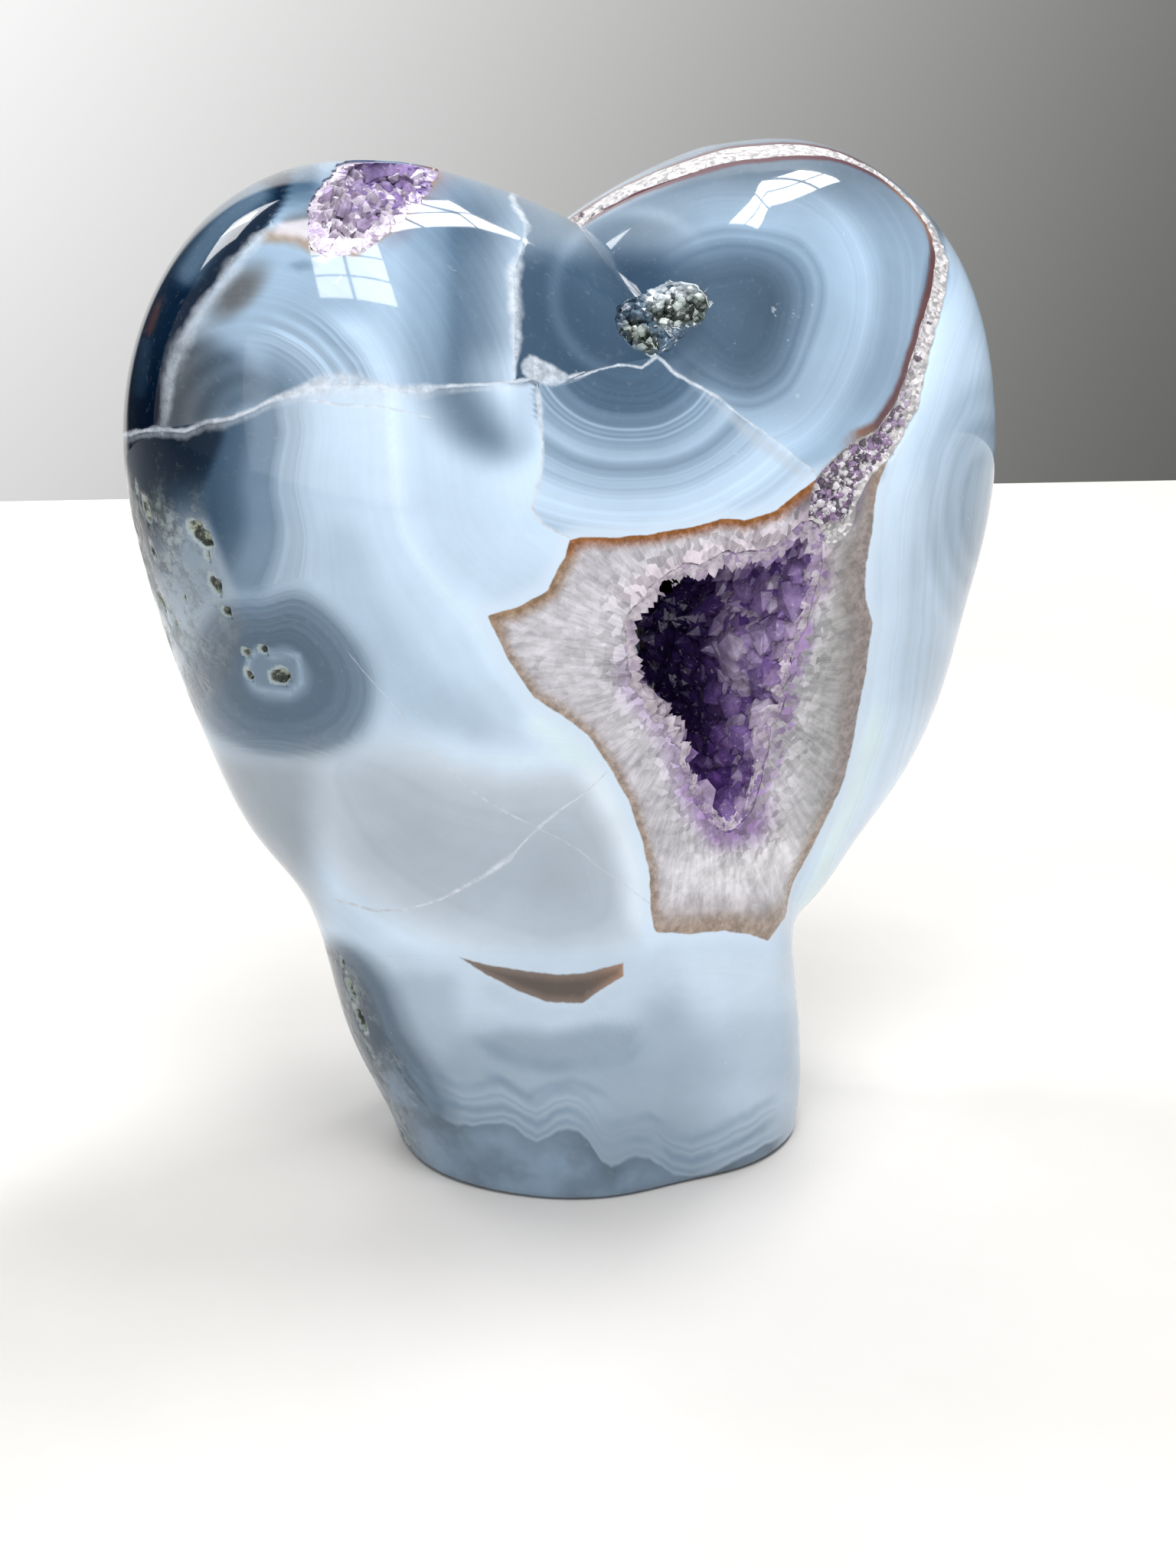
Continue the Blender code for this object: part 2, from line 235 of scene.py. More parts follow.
def saw_off_foot(made):
    """Saws the stone off at the foot's eased edge and closes it with a flat face."""
    mesh = bmesh.new()
    mesh.from_mesh(made.data)
    everything = mesh.verts[:] + mesh.edges[:] + mesh.faces[:]
    bmesh.ops.bisect_plane(
        mesh,
        geom=everything,
        dist=0.00001,
        plane_co=(0, 0, FOOT_EASE),
        plane_no=(0, 0, 1),
        clear_inner=True,
    )
    loop = [edge for edge in mesh.edges if edge.is_boundary]
    half_width = max(abs(vert.co.x - FOOT_CENTRE_X) for edge in loop for vert in edge.verts)
    before = 1.0
    for step in range(1, FOOT_EASE_STEPS + 1):
        bow = 0.5 * math.pi * step / FOOT_EASE_STEPS
        scale = 1 - FOOT_EASE * (1 - math.cos(bow)) / half_width
        grown = bmesh.ops.extrude_edge_only(mesh, edges=loop)["geom"]
        for vert in grown:
            if isinstance(vert, bmesh.types.BMVert):
                vert.co.x = FOOT_CENTRE_X + (vert.co.x - FOOT_CENTRE_X) * scale / before
                vert.co.y = vert.co.y * scale / before
                vert.co.z = FOOT_EASE * (1 - math.sin(bow))
        loop = [edge for edge in grown if isinstance(edge, bmesh.types.BMEdge)]
        loop = [edge for edge in loop if edge.is_boundary]
        before = scale
    bmesh.ops.contextual_create(mesh, geom=loop)
    bmesh.ops.recalc_face_normals(mesh, faces=mesh.faces)
    mesh.to_mesh(made.data)
    mesh.free()


# Each pocket's place, the way its mouth faces, its mouth about that place, and
# its sections: depth, scale of the mouth, shift across and shift up.
HOLLOW = {
    "place": (0.0040, -0.0255, 0.0580),
    "faces": (0.0, -0.987, -0.158),
    "mouth": [
        (-0.0102, 0.0035),
        (-0.0098, 0.0105),
        (-0.0075, 0.0125),
        (-0.0040, 0.0138),
        (0.0010, 0.0143),
        (0.0065, 0.0152),
        (0.0098, 0.0162),
        (0.0108, 0.0100),
        (0.0084, 0.0025),
        (0.0077, -0.0045),
        (0.0070, -0.0100),
        (0.0060, -0.0165),
        (0.0020, -0.0170),
        (-0.0020, -0.0115),
        (-0.0052, -0.0045),
        (-0.0092, 0.0010),
    ],
    "sections": [
        (-0.0040, 1.02, 0.0, 0.0),
        (0.0030, 1.00, 0.0, 0.0),
        (0.0085, 0.97, -0.0014, 0.0008),
        (0.0135, 0.86, -0.0022, 0.0020),
        (0.0180, 0.58, -0.0026, 0.0032),
    ],
    "floor": 0.0210,
}
LOBE_PATCH = {
    "place": (-0.0240, -0.0050, 0.1078),
    "faces": (-0.05, -0.35, 0.935),
    "mouth": [
        (-0.0080, -0.0078),
        (-0.0076, -0.0040),
        (-0.0045, 0.0004),
        (-0.0010, 0.0050),
        (0.0040, 0.0078),
        (0.0088, 0.0070),
        (0.0082, 0.0020),
        (0.0050, -0.0030),
        (0.0000, -0.0072),
        (-0.0050, -0.0090),
    ],
    "sections": [
        (-0.0040, 1.05, 0.0, 0.0),
        (0.0020, 1.00, 0.0, 0.0),
        (0.0038, 0.80, 0.0, 0.0),
    ],
    "floor": 0.0044,
}
CLEFT_PIT = {
    "place": (0.0018, -0.0172, 0.0950),
    "faces": (-0.06, -0.68, 0.73),
    "mouth": [
        (-0.0052, -0.0010),
        (-0.0020, 0.0022),
        (0.0018, 0.0034),
        (0.0050, 0.0012),
        (0.0036, -0.0016),
        (0.0002, -0.0032),
        (-0.0044, -0.0036),
    ],
    "sections": [
        (-0.0030, 1.10, 0.0, 0.0),
        (0.0018, 1.00, 0.0, 0.0),
        (0.0036, 0.75, 0.0, 0.0),
    ],
    "floor": 0.0042,
}


def pocket_axes(pocket):
    """Level axis across a pocket's mouth, the axis up it, and the one out of it."""
    out = np.array(pocket["faces"]) / np.linalg.norm(pocket["faces"])
    right = np.array([1.0, 0.0, 0.0]) - out * out[0]
    right = right / np.linalg.norm(right)
    return right, np.cross(out, right), out


def pocket_wall(pocket, turn, level, inset):
    """Point on a pocket's wall at an angle round its mouth and a level going in.

    The reach is that of the mouth's outline times the section's scale, with a
    little raggedness, less the inset.
    """
    sections = np.array(pocket["sections"])
    steps = np.arange(len(sections))
    depth, scale, across, up = [np.interp(level, steps, column) for column in sections.T]
    mouth = np.array(pocket["mouth"])
    size = np.hypot(mouth[:, 0], mouth[:, 1]).mean()
    ragged = 0.018 * np.sin(13 * turn + 1.0) + 0.014 * np.sin(23 * turn + 2.5)
    ragged = ragged + 0.010 * np.sin(41 * turn + 0.7)
    reach = (outline_reach(mouth, (0, 0), turn) + size * ragged) * scale - inset
    flat_x = reach * np.cos(turn) + across
    flat_y = reach * np.sin(turn) + up
    right, rise, out = pocket_axes(pocket)
    place = np.array(pocket["place"]) + flat_x[..., None] * right + flat_y[..., None] * rise
    return place + (inset - depth)[..., None] * out


def pocket_floor(pocket, inset):
    """Deepest point of a pocket: its place, the last section's shifts and its depth."""
    right, rise, out = pocket_axes(pocket)
    across, up = pocket["sections"][-1][2:]
    return np.array(pocket["place"]) + across * right + up * rise + (inset - pocket["floor"]) * out


def pocket_fill(name, pocket, columns):
    """Closed body that fills a pocket from outside its mouth down to its floor."""
    rows = 3 * (len(pocket["sections"]) - 1) + 1
    turn = np.linspace(0, math.tau, columns, endpoint=False)[None, :]
    level = np.linspace(0, len(pocket["sections"]) - 1, rows)[:, None]
    turn, level = np.broadcast_arrays(turn, level)
    wall = pocket_wall(pocket, turn, level, 0.0).reshape(-1, 3)
    last = (rows - 1) * columns
    faces = tube_faces(rows, columns)
    faces.append(list(range(columns)))
    faces += [[last + i, last + (i + 1) % columns, rows * columns] for i in range(columns)]
    made = mesh_object(name, np.vstack([wall, pocket_floor(pocket, 0.0)]), faces)
    turn_faces_out(made)
    return made


front_swings = np.linspace(0, math.pi / 2, FRONT_ROWS, endpoint=False)[1:]
back_swings = np.linspace(math.pi / 2, math.pi, BACK_ROWS)[:-1]
swings = np.concatenate([front_swings, back_swings])
trial_turns = CLEFT_TURN + np.linspace(0, math.tau, 2001)
trial_rim = on_stone(trial_turns, np.full(2001, math.pi / 2))
rim_run = np.append(0, np.cumsum(np.linalg.norm(np.diff(trial_rim, axis=0), axis=1)))
turns = np.interp(np.linspace(0, rim_run[-1], TURNS_ROUND, endpoint=False), rim_run, trial_turns)
skin = on_stone(turns[None, :], swings[:, None]).reshape(-1, 3)
front_pole = on_stone(np.array([0.0]), np.array([0.0]))
back_pole = front_pole * (1, -1, 1)
faces = tube_faces(len(swings), TURNS_ROUND)
after = (np.arange(TURNS_ROUND) + 1) % TURNS_ROUND
last = (len(swings) - 1) * TURNS_ROUND
faces += [[i, int(after[i]), len(skin)] for i in range(TURNS_ROUND)]
faces += [[last + int(after[i]), last + i, len(skin) + 1] for i in range(TURNS_ROUND)]
heart = mesh_object("banded_agate_heart", np.vstack([skin, front_pole, back_pole]), faces)
saw_off_foot(heart)
for pocket_name, pocket, columns in (
    ("hollow_fill", HOLLOW, 110),
    ("lobe_fill", LOBE_PATCH, 80),
    ("cleft_fill", CLEFT_PIT, 60),
):
    fill = pocket_fill(pocket_name, pocket, columns)
    cut = heart.modifiers.new(pocket_name, "BOOLEAN")
    cut.operation = "DIFFERENCE"
    cut.object = fill
graph = bpy.context.evaluated_depsgraph_get()
carved = bpy.data.meshes.new_from_object(heart.evaluated_get(graph))
heart.modifiers.clear()
heart.data = carved
for pocket_name in ("hollow_fill", "lobe_fill", "cleft_fill"):
    bpy.data.objects.remove(bpy.data.objects[pocket_name], do_unlink=True)


# Markings are drawn as they are seen in the view above, in a frame of
# VIEW_WIDE by VIEW_HIGH, and run straight back into the stone from there.
# PER_MM steps of that frame are a millimetre on the stone.
PER_MM = 11.86


def seen(points):
    """Where points of the stone lie in the view: across and down the frame."""
    spot = points - view_place
    depth = -(spot @ view_back)
    focal = VIEW_HIGH / 2 / math.tan(VIEW_ANGLE / 2)
    across = VIEW_WIDE / 2 + focal * (spot @ view_right) / depth
    down = VIEW_HIGH / 2 - focal * (spot @ view_up) / depth
    return np.stack([across, down], axis=-1)


def away(spots, line):
    """Distance of each spot from a line through a few points, in mm."""
    line = np.array(line, float)
    best = np.full(len(spots), 1e9)
    for start, end in zip(line, line[1:]):
        run = end - start
        share = np.clip((spots - start) @ run / (run @ run), 0, 1)
        best = np.minimum(best, np.hypot(*(spots - start - share[:, None] * run).T))
    return best / PER_MM


def within(spots, outline):
    """Depth of each spot inside a closed outline, in mm, negative outside."""
    ring = np.array(outline + outline[:1], float)
    inside = np.zeros(len(spots), bool)
    for (x0, y0), (x1, y1) in zip(ring, ring[1:]):
        crosses = (y0 > spots[:, 1]) != (y1 > spots[:, 1])
        meet = x0 + (spots[:, 1] - y0) * (x1 - x0) / (y1 - y0 if y1 != y0 else 1e-9)
        inside ^= crosses & (spots[:, 0] < meet)
    return away(spots, ring) * np.where(inside, 1, -1)


def clouds(points, size, seed):
    """Slow cloudiness from -1 to 1: a sum of waves in random directions."""
    chance = np.random.default_rng(seed)
    ways = chance.normal(size=(14, 3)) / size
    shifts = chance.uniform(0, math.tau, 14)
    return np.clip(np.sin(points @ ways.T + shifts).sum(axis=1) / 4.5, -1, 1)


def lay(colours, *layers):
    """Lays tints over the colours in turn, each by every point's share of it."""
    for share, tint in layers:
        share = np.clip(share, 0, 1)[:, None]
        colours = colours * (1 - share) + np.array(tint) * share
    return colours


BIG_VEIN = [
    (158, 556), (200, 549), (235, 552), (262, 540), (290, 536), (330, 520), (352, 510),
    (375, 502), (400, 494), (440, 489), (480, 492), (520, 497), (560, 492), (600, 489),
    (640, 487), (680, 481), (700, 479), (722, 481), (745, 474),
]
VEIN_HAZE = [(x, y + 6) for x, y in BIG_VEIN]
BIG_VEIN_STRAND = [(395, 512), (440, 518), (495, 519), (547, 530)]
UPPER_CRACK = [(654, 257), (673, 292), (666, 323), (656, 350), (658, 392), (660, 427), (658, 470)]
LOWER_CRACK = [
    (687, 492), (689, 523), (693, 562), (693, 596), (685, 627), (679, 647), (693, 668),
    (716, 681), (742, 693),
]
PALE_CHIP = [(666, 461), (677, 450), (700, 459), (727, 475), (739, 482), (708, 492), (666, 480)]
LONG_CRACK = [
    (734, 481), (788, 465), (819, 469), (838, 456), (861, 477), (915, 508), (954, 539),
    (993, 566), (1031, 597), (1045, 612),
]
CRACK_WEDGE = [(838, 456), (915, 508), (993, 566), (1045, 612), (1018, 616), (954, 570), (915, 528)]
LOW_CRACK = [
    (772, 983), (740, 1012), (700, 1040), (676, 1060), (650, 1090), (610, 1118), (560, 1145),
    (525, 1156), (480, 1160), (420, 1143),
]
SIDE_LINE = [(345, 290), (310, 325), (270, 375), (238, 425), (217, 480), (207, 553)]
LONG_HEALED = [
    (440, 830), (500, 900), (560, 970), (600, 1008), (640, 1032), (720, 1070), (800, 1130),
    (880, 1190),
]
QUARTZ_OUTLINE = [
    (621, 786), (655, 778), (698, 755), (721, 713), (727, 690), (745, 686), (779, 687),
    (822, 684), (879, 672), (918, 661), (949, 664), (987, 653), (1022, 626), (1041, 612),
    (1088, 593), (1127, 562), (1150, 560), (1130, 600), (1119, 624), (1115, 670), (1107, 721),
    (1105, 763), (1115, 794), (1105, 856), (1092, 918), (1084, 964), (1069, 1010), (1042, 1068),
    (1018, 1122), (1006, 1160), (979, 1199), (954, 1191), (923, 1187), (877, 1193), (832, 1189),
    (829, 1152), (827, 1107), (818, 1068), (798, 1018), (775, 975), (748, 937), (717, 914),
    (679, 891), (644, 840),
]
TOP_RIM = [
    (727, 690), (779, 687), (822, 684), (879, 672), (918, 661), (949, 664), (987, 653), (1030, 618)
]
LEFT_CORNER_RIM = [(727, 700), (715, 730), (690, 765), (640, 785)]
LENS_TOP = [
    (580, 1217), (618, 1227), (663, 1234), (708, 1240), (744, 1238), (771, 1231), (800, 1224)
]
LENS_LOW = [
    (580, 1217), (618, 1242), (659, 1263), (695, 1277), (741, 1279), (765, 1262), (792, 1246),
    (800, 1240),
]
BRIGHT_EDGE = [
    (497, 500), (500, 560), (507, 643), (515, 680), (531, 709), (561, 748), (600, 790),
    (635, 848), (677, 902), (742, 950), (770, 990), (795, 1040), (812, 1090), (820, 1150),
]
OVAL_CELL = [
    (395, 930), (450, 915), (520, 940), (580, 975), (640, 990), (700, 985), (760, 985), (800, 1050),
    (822, 1110), (826, 1165), (806, 1202), (770, 1224), (700, 1238), (640, 1228), (570, 1202),
    (500, 1165), (440, 1115), (400, 1055), (375, 990),
]
SCALLOPS = [
    (470, 1300), (490, 1335), (517, 1378), (528, 1396), (540, 1409), (552, 1420), (566, 1428),
    (584, 1434), (602, 1435), (622, 1431), (640, 1430), (654, 1436), (668, 1449), (683, 1456),
    (695, 1449), (708, 1440), (722, 1437), (736, 1441), (748, 1450), (758, 1465), (768, 1480),
    (780, 1486), (795, 1480), (812, 1474), (830, 1475), (846, 1484), (860, 1497), (885, 1500),
    (920, 1488), (960, 1468), (1010, 1440),
]
FOOT_BAND = [
    (594, 1318), (620, 1338), (660, 1352), (698, 1357), (756, 1357), (806, 1345), (835, 1316)
]
FOOT_BAND_LOW = [
    (600, 1362), (632, 1372), (671, 1394), (700, 1382), (730, 1378), (765, 1392), (790, 1410),
    (820, 1412),
]
EYE = (352, 860)
FAN_CENTRE = (800, 443)
FAN_OUTLINE = [
    (689, 485), (734, 481), (788, 465), (838, 456), (861, 477), (915, 508), (954, 539), (993, 566),
    (1045, 612), (1022, 630), (987, 657), (949, 668), (918, 665), (879, 676), (822, 688),
    (779, 691), (742, 693), (716, 681), (693, 668), (679, 647), (685, 627), (693, 596), (693, 562),
    (689, 523),
]
ARC_CENTRE = (312, 540)
RIGHT_LOBE_CENTRE = (935, 400)

heart_mesh = heart.data
count = len(heart_mesh.vertices)
place = np.empty(count * 3)
heart_mesh.vertices.foreach_get("co", place)
place = place.reshape(-1, 3)
millimetres = place * 1000
rearward = millimetres[:, 1] - 10 * soft(-millimetres[:, 0], 18, 38)
backward = soft(rearward, -6, 16)
spots = seen(place)
sway = np.stack([clouds(millimetres, 14, 1), clouds(millimetres, 14, 2)], axis=-1)
spots = spots + sway * (3 + 75 * backward[:, None])
across, down = spots.T
ripple = clouds(millimetres, 5, 3)
broad = clouds(millimetres, 16, 4)


def marks(field, places):
    """Value read off a short list of places along a field, straight between them."""
    at, values = zip(*places)
    return np.interp(field, at, values)


def mix(first, second, share):
    """First where the share is 0, second where it is 1, straight between them."""
    return first + (second - first) * np.clip(share, 0, 1)


def near(spots, line, core, edge):
    """1 within core mm of a line, falling to 0 at edge mm."""
    return 1 - soft(away(spots, line), core, edge)


# The stone's lightness, first for all but the upper left lobe and the fan.
light = 0.87 + 0.03 * broad
greyness = 0.25 + 0.15 * broad

# The bands that run down beside the bright edge, dark on their left.
bright_at = marks(
    down,
    [
        (480, 497), (560, 500), (643, 507), (680, 515), (709, 531), (748, 561), (790, 600),
        (848, 635), (902, 677), (950, 742), (990, 770), (1040, 795), (1150, 822),
    ],
)
dark_at = marks(down, [(480, 352), (650, 352), (720, 346), (780, 334), (1000, 326)])
wave = 5 * np.sin(down / 23) * soft(down, 520, 560) * (1 - soft(across, 420, 520))
column_way = (across + wave - dark_at) / (bright_at - dark_at)
column_light = marks(
    column_way,
    [
        (-1.3, 0.34), (-0.5, 0.33), (-0.33, 0.40), (-0.2, 0.54), (-0.03, 0.56), (0.06, 0.72),
        (0.2, 0.76), (0.3, 0.83), (0.5, 0.86), (0.8, 0.88), (0.93, 0.90), (1.0, 0.95), (1.07, 0.91),
        (1.25, 0.87), (1.6, 0.88), (2.0, 0.91), (2.5, 0.91),
    ],
)
column = 1 - soft(down, 790, 930)
light = mix(light, column_light, column)
light = mix(light, 0.93, 0.7 * near(spots, BRIGHT_EDGE, 0.3, 2.4) * soft(down, 700, 800))

light = mix(
    light, 0.78, 0.8 * near(spots, [(430, 700), (455, 780), (505, 860), (590, 930)], 1.0, 4.6)
)

# Smoky streak between the bright edge and the lower crack.
streak = away(spots, [(572, 480), (590, 515), (612, 548), (630, 572)])
light = mix(light, 0.50, (1 - soft(streak, 0.1, 5.6)) * (1 - soft(down, 545, 620)))
light = mix(
    light, 0.74, 0.6 * near(spots, [(672, 500), (668, 560)], 0.3, 2.5) * (1 - soft(down, 560, 640))
)

# The big oval cell above the foot, grey inside, with a pale border.
oval = within(spots, OVAL_CELL)
oval_light = marks(
    oval,
    [(-4, 0.88), (-1.5, 0.92), (-0.3, 0.88), (1.0, 0.84), (2.6, 0.80), (5.5, 0.755), (9, 0.73)],
)
oval_light = (
    oval_light + 0.06 * soft(1010 - down, 0, 80) - 0.015 * np.exp(-(((oval - 4.2) / 0.5) ** 2))
)
oval_share = soft(down, 900, 985) * (1 - soft(down, 1215, 1250)) * soft(oval, -5, -2)
light = mix(light, oval_light, oval_share)
greyness = mix(greyness, 0.85, oval_share * soft(oval, -2.5, 1.0))
left_haze = soft(430 - across, 0, 60) * soft(down, 930, 990) * (1 - soft(down, 1150, 1200))
light = mix(light, 0.68, left_haze)
greyness = mix(greyness, 1.0, left_haze)
light = mix(
    light, 0.96,
    near(spots, [(690, 925), (750, 965), (795, 1040), (818, 1110), (822, 1160)], 0.5, 3.4),
)

# The foot, darker downwards, slate under its scalloped line.
foot = soft(down, 1190, 1230)
foot_light = marks(
    down,
    [
        (1200, 0.84), (1285, 0.83), (1305, 0.78), (1332, 0.68), (1365, 0.66), (1400, 0.68),
        (1440, 0.63),
    ],
)
foot_light = (
    foot_light
    + 0.11 * soft(across, 850, 970) * soft(down, 1290, 1340)
    + 0.06 * soft(across, 800, 900) * (1 - soft(down, 1250, 1330))
)
foot_light = mix(
    foot_light, 0.69, np.exp(-(((across - 850) / 45) ** 2) - ((down - 1310) / 50) ** 2)
)
foot_light = mix(
    foot_light, 0.73,
    0.9 * soft(600 - across, 0, 40) * soft(down, 1225, 1255) * (1 - soft(down, 1320, 1370)),
)
light = mix(light, foot_light, foot * (1 - backward))
light = mix(
    light, 0.81,
    near(spots, [(628, 1262), (655, 1280), (700, 1296), (745, 1296), (785, 1270)], 0.4, 1.6),
)
foot_patch = within(
    spots,
    [
        (596, 1322), (640, 1308), (700, 1314), (760, 1300), (820, 1306), (812, 1344), (756, 1364),
        (690, 1362), (622, 1346),
    ],
)
light = mix(light, 0.62, 0.85 * soft(foot_patch, -0.6, 1.3))
greyness = mix(greyness, 0.55, foot)
scallop = np.array(SCALLOPS, float)
below = (down - np.interp(across, scallop[:, 0], scallop[:, 1])) / PER_MM
scallop_share = soft(across, 480, 500) * (1 - soft(across, 985, 1010)) * (1 - backward)
foot_edge = marks(
    down,
    [
        (1150, 405), (1195, 432), (1230, 470), (1262, 490), (1315, 510), (1368, 545), (1410, 565),
        (1470, 560),
    ],
)
foot_left = foot_edge - across
foot_side = soft(foot_left, -34, 22) * soft(down, 1180, 1215)
foot_side_light = marks(
    foot_left,
    [
        (-34, 0.60), (-18, 0.46), (-6, 0.50), (4, 0.42), (16, 0.50), (26, 0.40), (40, 0.36),
        (60, 0.34),
    ],
)
light = mix(light, foot_side_light + 0.05 * ripple, foot_side)

fan_in = within(spots, FAN_OUTLINE)

# Between the cracks by the cleft the stone is smoky, with faint arcs, and towards the top it is
# painted lighter and greyer as a painted reflection.
long_line = marks(
    across,
    [
        (650, 486), (690, 485), (734, 481), (788, 465), (838, 456), (915, 508), (993, 566),
        (1045, 612),
    ],
)
upper_right = soft(across, 640, 656) * soft(long_line + 2 - down, -4, 4)
upper_right = np.maximum(upper_right, soft(fan_in, -0.6, -0.1) * soft(long_line + 60 - down, 0, 30))
smoke_and_sheen = 0.31 + 0.04 * ripple
smoke_and_sheen = smoke_and_sheen + 0.09 * np.exp(-(((np.hypot(across - 812, down - 375) - 104) / 9) ** 2))
# Painted reflection: towards the top this part is painted lighter and greyer.
smoke_and_sheen = smoke_and_sheen + 0.22 * (1 - soft(down, 300, 350))
light = mix(light, smoke_and_sheen, upper_right)
greyness = mix(greyness, 0.1 + 0.5 * (1 - soft(down, 290, 350)), upper_right)

# Left flank below the vein: teal black that grades into grey rind.
vein_down = marks(
    across,
    [
        (150, 557), (200, 549), (262, 540), (330, 520), (400, 494), (520, 497), (700, 479),
        (745, 474),
    ],
)
rind_edge = marks(
    down,
    [
        (560, 290), (600, 275), (640, 262), (690, 282), (760, 308), (800, 318), (860, 300),
        (930, 250), (1200, 200),
    ],
)
left_flank = (
    soft(rind_edge - across, 0, 16) * soft(down - vein_down, -4, 4) * (1 - soft(down, 880, 990))
)
flank_dark = (
    mix(0.15, 0.67, soft(down, 590, 700) * soft(across, 175, 240) + 0.5 * soft(down, 640, 760))
    + 0.05 * ripple
    + 0.05 * soft(down, 760, 860)
)
light = mix(light, flank_dark, left_flank)
greyness = mix(greyness, 0.6, left_flank * soft(down, 610, 680))
greyness = mix(
    greyness, 0.0,
    soft(360 - across, 0, 30)
    * soft(down, 500, 520)
    * (1 - soft(down, 770, 800))
    * (1 - left_flank),
)

# The eye: slate rings round a small pit.
eye_angle = np.arctan2(down - EYE[1], across - EYE[0])
eye_out = (
    np.hypot(across - EYE[0], down - EYE[1])
    / (1 - 0.15 * np.exp(-(((eye_angle + 1.75) / 0.35) ** 2)))
)
eye_out = eye_out / (1 + 0.07 * np.sin(2 * eye_angle + 0.8) + 0.04 * np.sin(3 * eye_angle))
eye_out = eye_out + 3 * ripple
eye_light = marks(
    eye_out,
    [
        (0, 0.56), (34, 0.54), (44, 0.42), (62, 0.40), (74, 0.46), (84, 0.44), (92, 0.50),
        (104, 0.52), (116, 0.68), (135, 0.76),
    ],
)
eye = (1 - soft(eye_out, 106, 140)) * (1 - backward)
light = mix(light, eye_light, eye)
halo = within(
    spots,
    [
        (318, 838), (330, 828), (345, 838), (378, 838), (382, 872), (366, 886), (340, 884),
        (322, 876), (312, 858),
    ],
)
light = mix(light, 0.70, 0.8 * np.exp(-((halo / 0.35) ** 2)) * eye)
light = mix(light, 0.53, 0.8 * soft(halo, 0.1, 0.6) * eye)

# Right flank beyond the seam, pale bands that run down.
flank_edge = marks(
    down,
    [
        (292, 1205), (350, 1212), (400, 1200), (450, 1185), (523, 1165), (580, 1140), (640, 1125),
        (700, 1118), (800, 1118), (850, 1110), (918, 1096), (1010, 1072), (1068, 1044),
        (1150, 1012),
    ],
)
flank = soft(across - flank_edge, -8, 2) * soft(1230 - down, 0, 60)
flank_way = across - flank_edge + 4 * ripple
flank_light = marks(
    flank_way,
    [
        (-10, 0.84), (5, 0.88), (16, 0.92), (28, 0.90), (40, 0.86), (55, 0.84), (70, 0.83),
        (85, 0.82), (110, 0.77), (140, 0.72),
    ],
)
flank_light = flank_light - 0.05 * soft(flank_way, 35, 60) * np.exp(-(((down - 690) / 55) ** 2))
flank_light = flank_light + 0.06 * soft(down, 850, 950) - 0.10 * (1 - soft(down, 330, 460))
flank_ring = np.hypot(across - 1264, (down - 650) / 2.1) + 3 * ripple
flank_ring_light = marks(
    flank_ring,
    [
        (0, 0.72), (20, 0.68), (32, 0.64), (40, 0.74), (50, 0.68), (60, 0.79), (72, 0.75),
        (86, 0.85), (104, 0.86),
    ],
)
flank_light = mix(flank_light, flank_ring_light, 0.85 * (1 - soft(flank_ring, 84, 108)))
light = mix(light, flank_light, flank)

# Right lobe: how its rings are reached and how much lighter they are by place.
ring_angle = np.arctan2(down - RIGHT_LOBE_CENTRE[1], across - RIGHT_LOBE_CENTRE[0])
ring_out = np.hypot(across - RIGHT_LOBE_CENTRE[0], (down - RIGHT_LOBE_CENTRE[1]) * 1.05)
ring_out = ring_out + 7 * np.sin(3 * ring_angle + 0.6) + 6 * ripple
seam_across = marks(
    down,
    [
        (200, 1150), (292, 1180), (357, 1171), (407, 1163), (446, 1159), (493, 1148), (535, 1132),
        (566, 1108), (593, 1074), (640, 1020),
    ],
)
ring_share = (
    soft(across, 830, 915)
    * soft(down, 215, 262)
    * (1 - soft(across - seam_across, 6, 14))
    * soft(700 - down, 0, 20)
)
ring_share = ring_share * (1 - soft(millimetres[:, 1], -8, 4))
ring_lift = (
    0.35 * soft(down, 500, 590)
    - 0.22 * (1 - soft(down, 240, 290))
    - 0.20 * soft(915 - across, 0, 45) * soft(down, 330, 400)
)
ring_lift = ring_lift - 0.16 * np.exp(-(((across - 985) / 34) ** 2) - ((down - 390) / 42) ** 2)
ring_lift = ring_lift - 0.16 * (1 - soft(ring_out, 60, 110)) - 0.10 * (1 - soft(down, 270, 330))
ring_lift = (
    ring_lift
    - 0.10 * (1 - soft(across, 940, 1040)) * (1 - soft(down, 470, 560))
    + 0.06 * soft(across, 1040, 1120)
)
ring_lift = ring_lift + 0.12 * np.exp(-(((across - 965) / 40) ** 2) - ((down - 285) / 30) ** 2)
ring_lift = ring_lift - 0.10 * soft(ring_out, 178, 200) * (1 - soft(down, 470, 540))
light = mix(light, 0.46, soft(across, 800, 850) * (1 - soft(down, 225, 262)) * (1 - backward))


def blue_grey(light, greyness):
    """The stone's own colour at a lightness: slate to pale blue, or greyer."""
    red = light - 0.095 + 0.05 * greyness
    return np.stack(np.broadcast_arrays(red, light, light + 0.09 - 0.045 * greyness), axis=-1)


tint = blue_grey(light, greyness)

# Second layer: the upper left lobe, pale in the middle and smoky to the right.
lobe_light = marks(
    across,
    [
        (150, 0.15), (225, 0.60), (262, 0.66), (300, 0.70), (340, 0.70), (400, 0.69), (440, 0.69),
        (480, 0.74), (505, 0.74), (525, 0.67), (545, 0.63), (562, 0.58), (582, 0.45), (600, 0.47),
        (622, 0.52), (644, 0.64), (660, 0.74),
    ],
)
lobe_light = (
    lobe_light
    + 0.12 * soft(down, 425, 475) * soft(across, 570, 620)
    - 0.07 * (1 - soft(down, 290, 350)) * soft(across, 480, 520)
)
lobe_light = mix(lobe_light, 0.56, 0.75 * (1 - soft(down, 235, 300)) * (1 - soft(across, 640, 690)))
lobe_grey = 0.35 * soft(across, 560, 640) + 0.5 * (1 - soft(across, 250, 300))
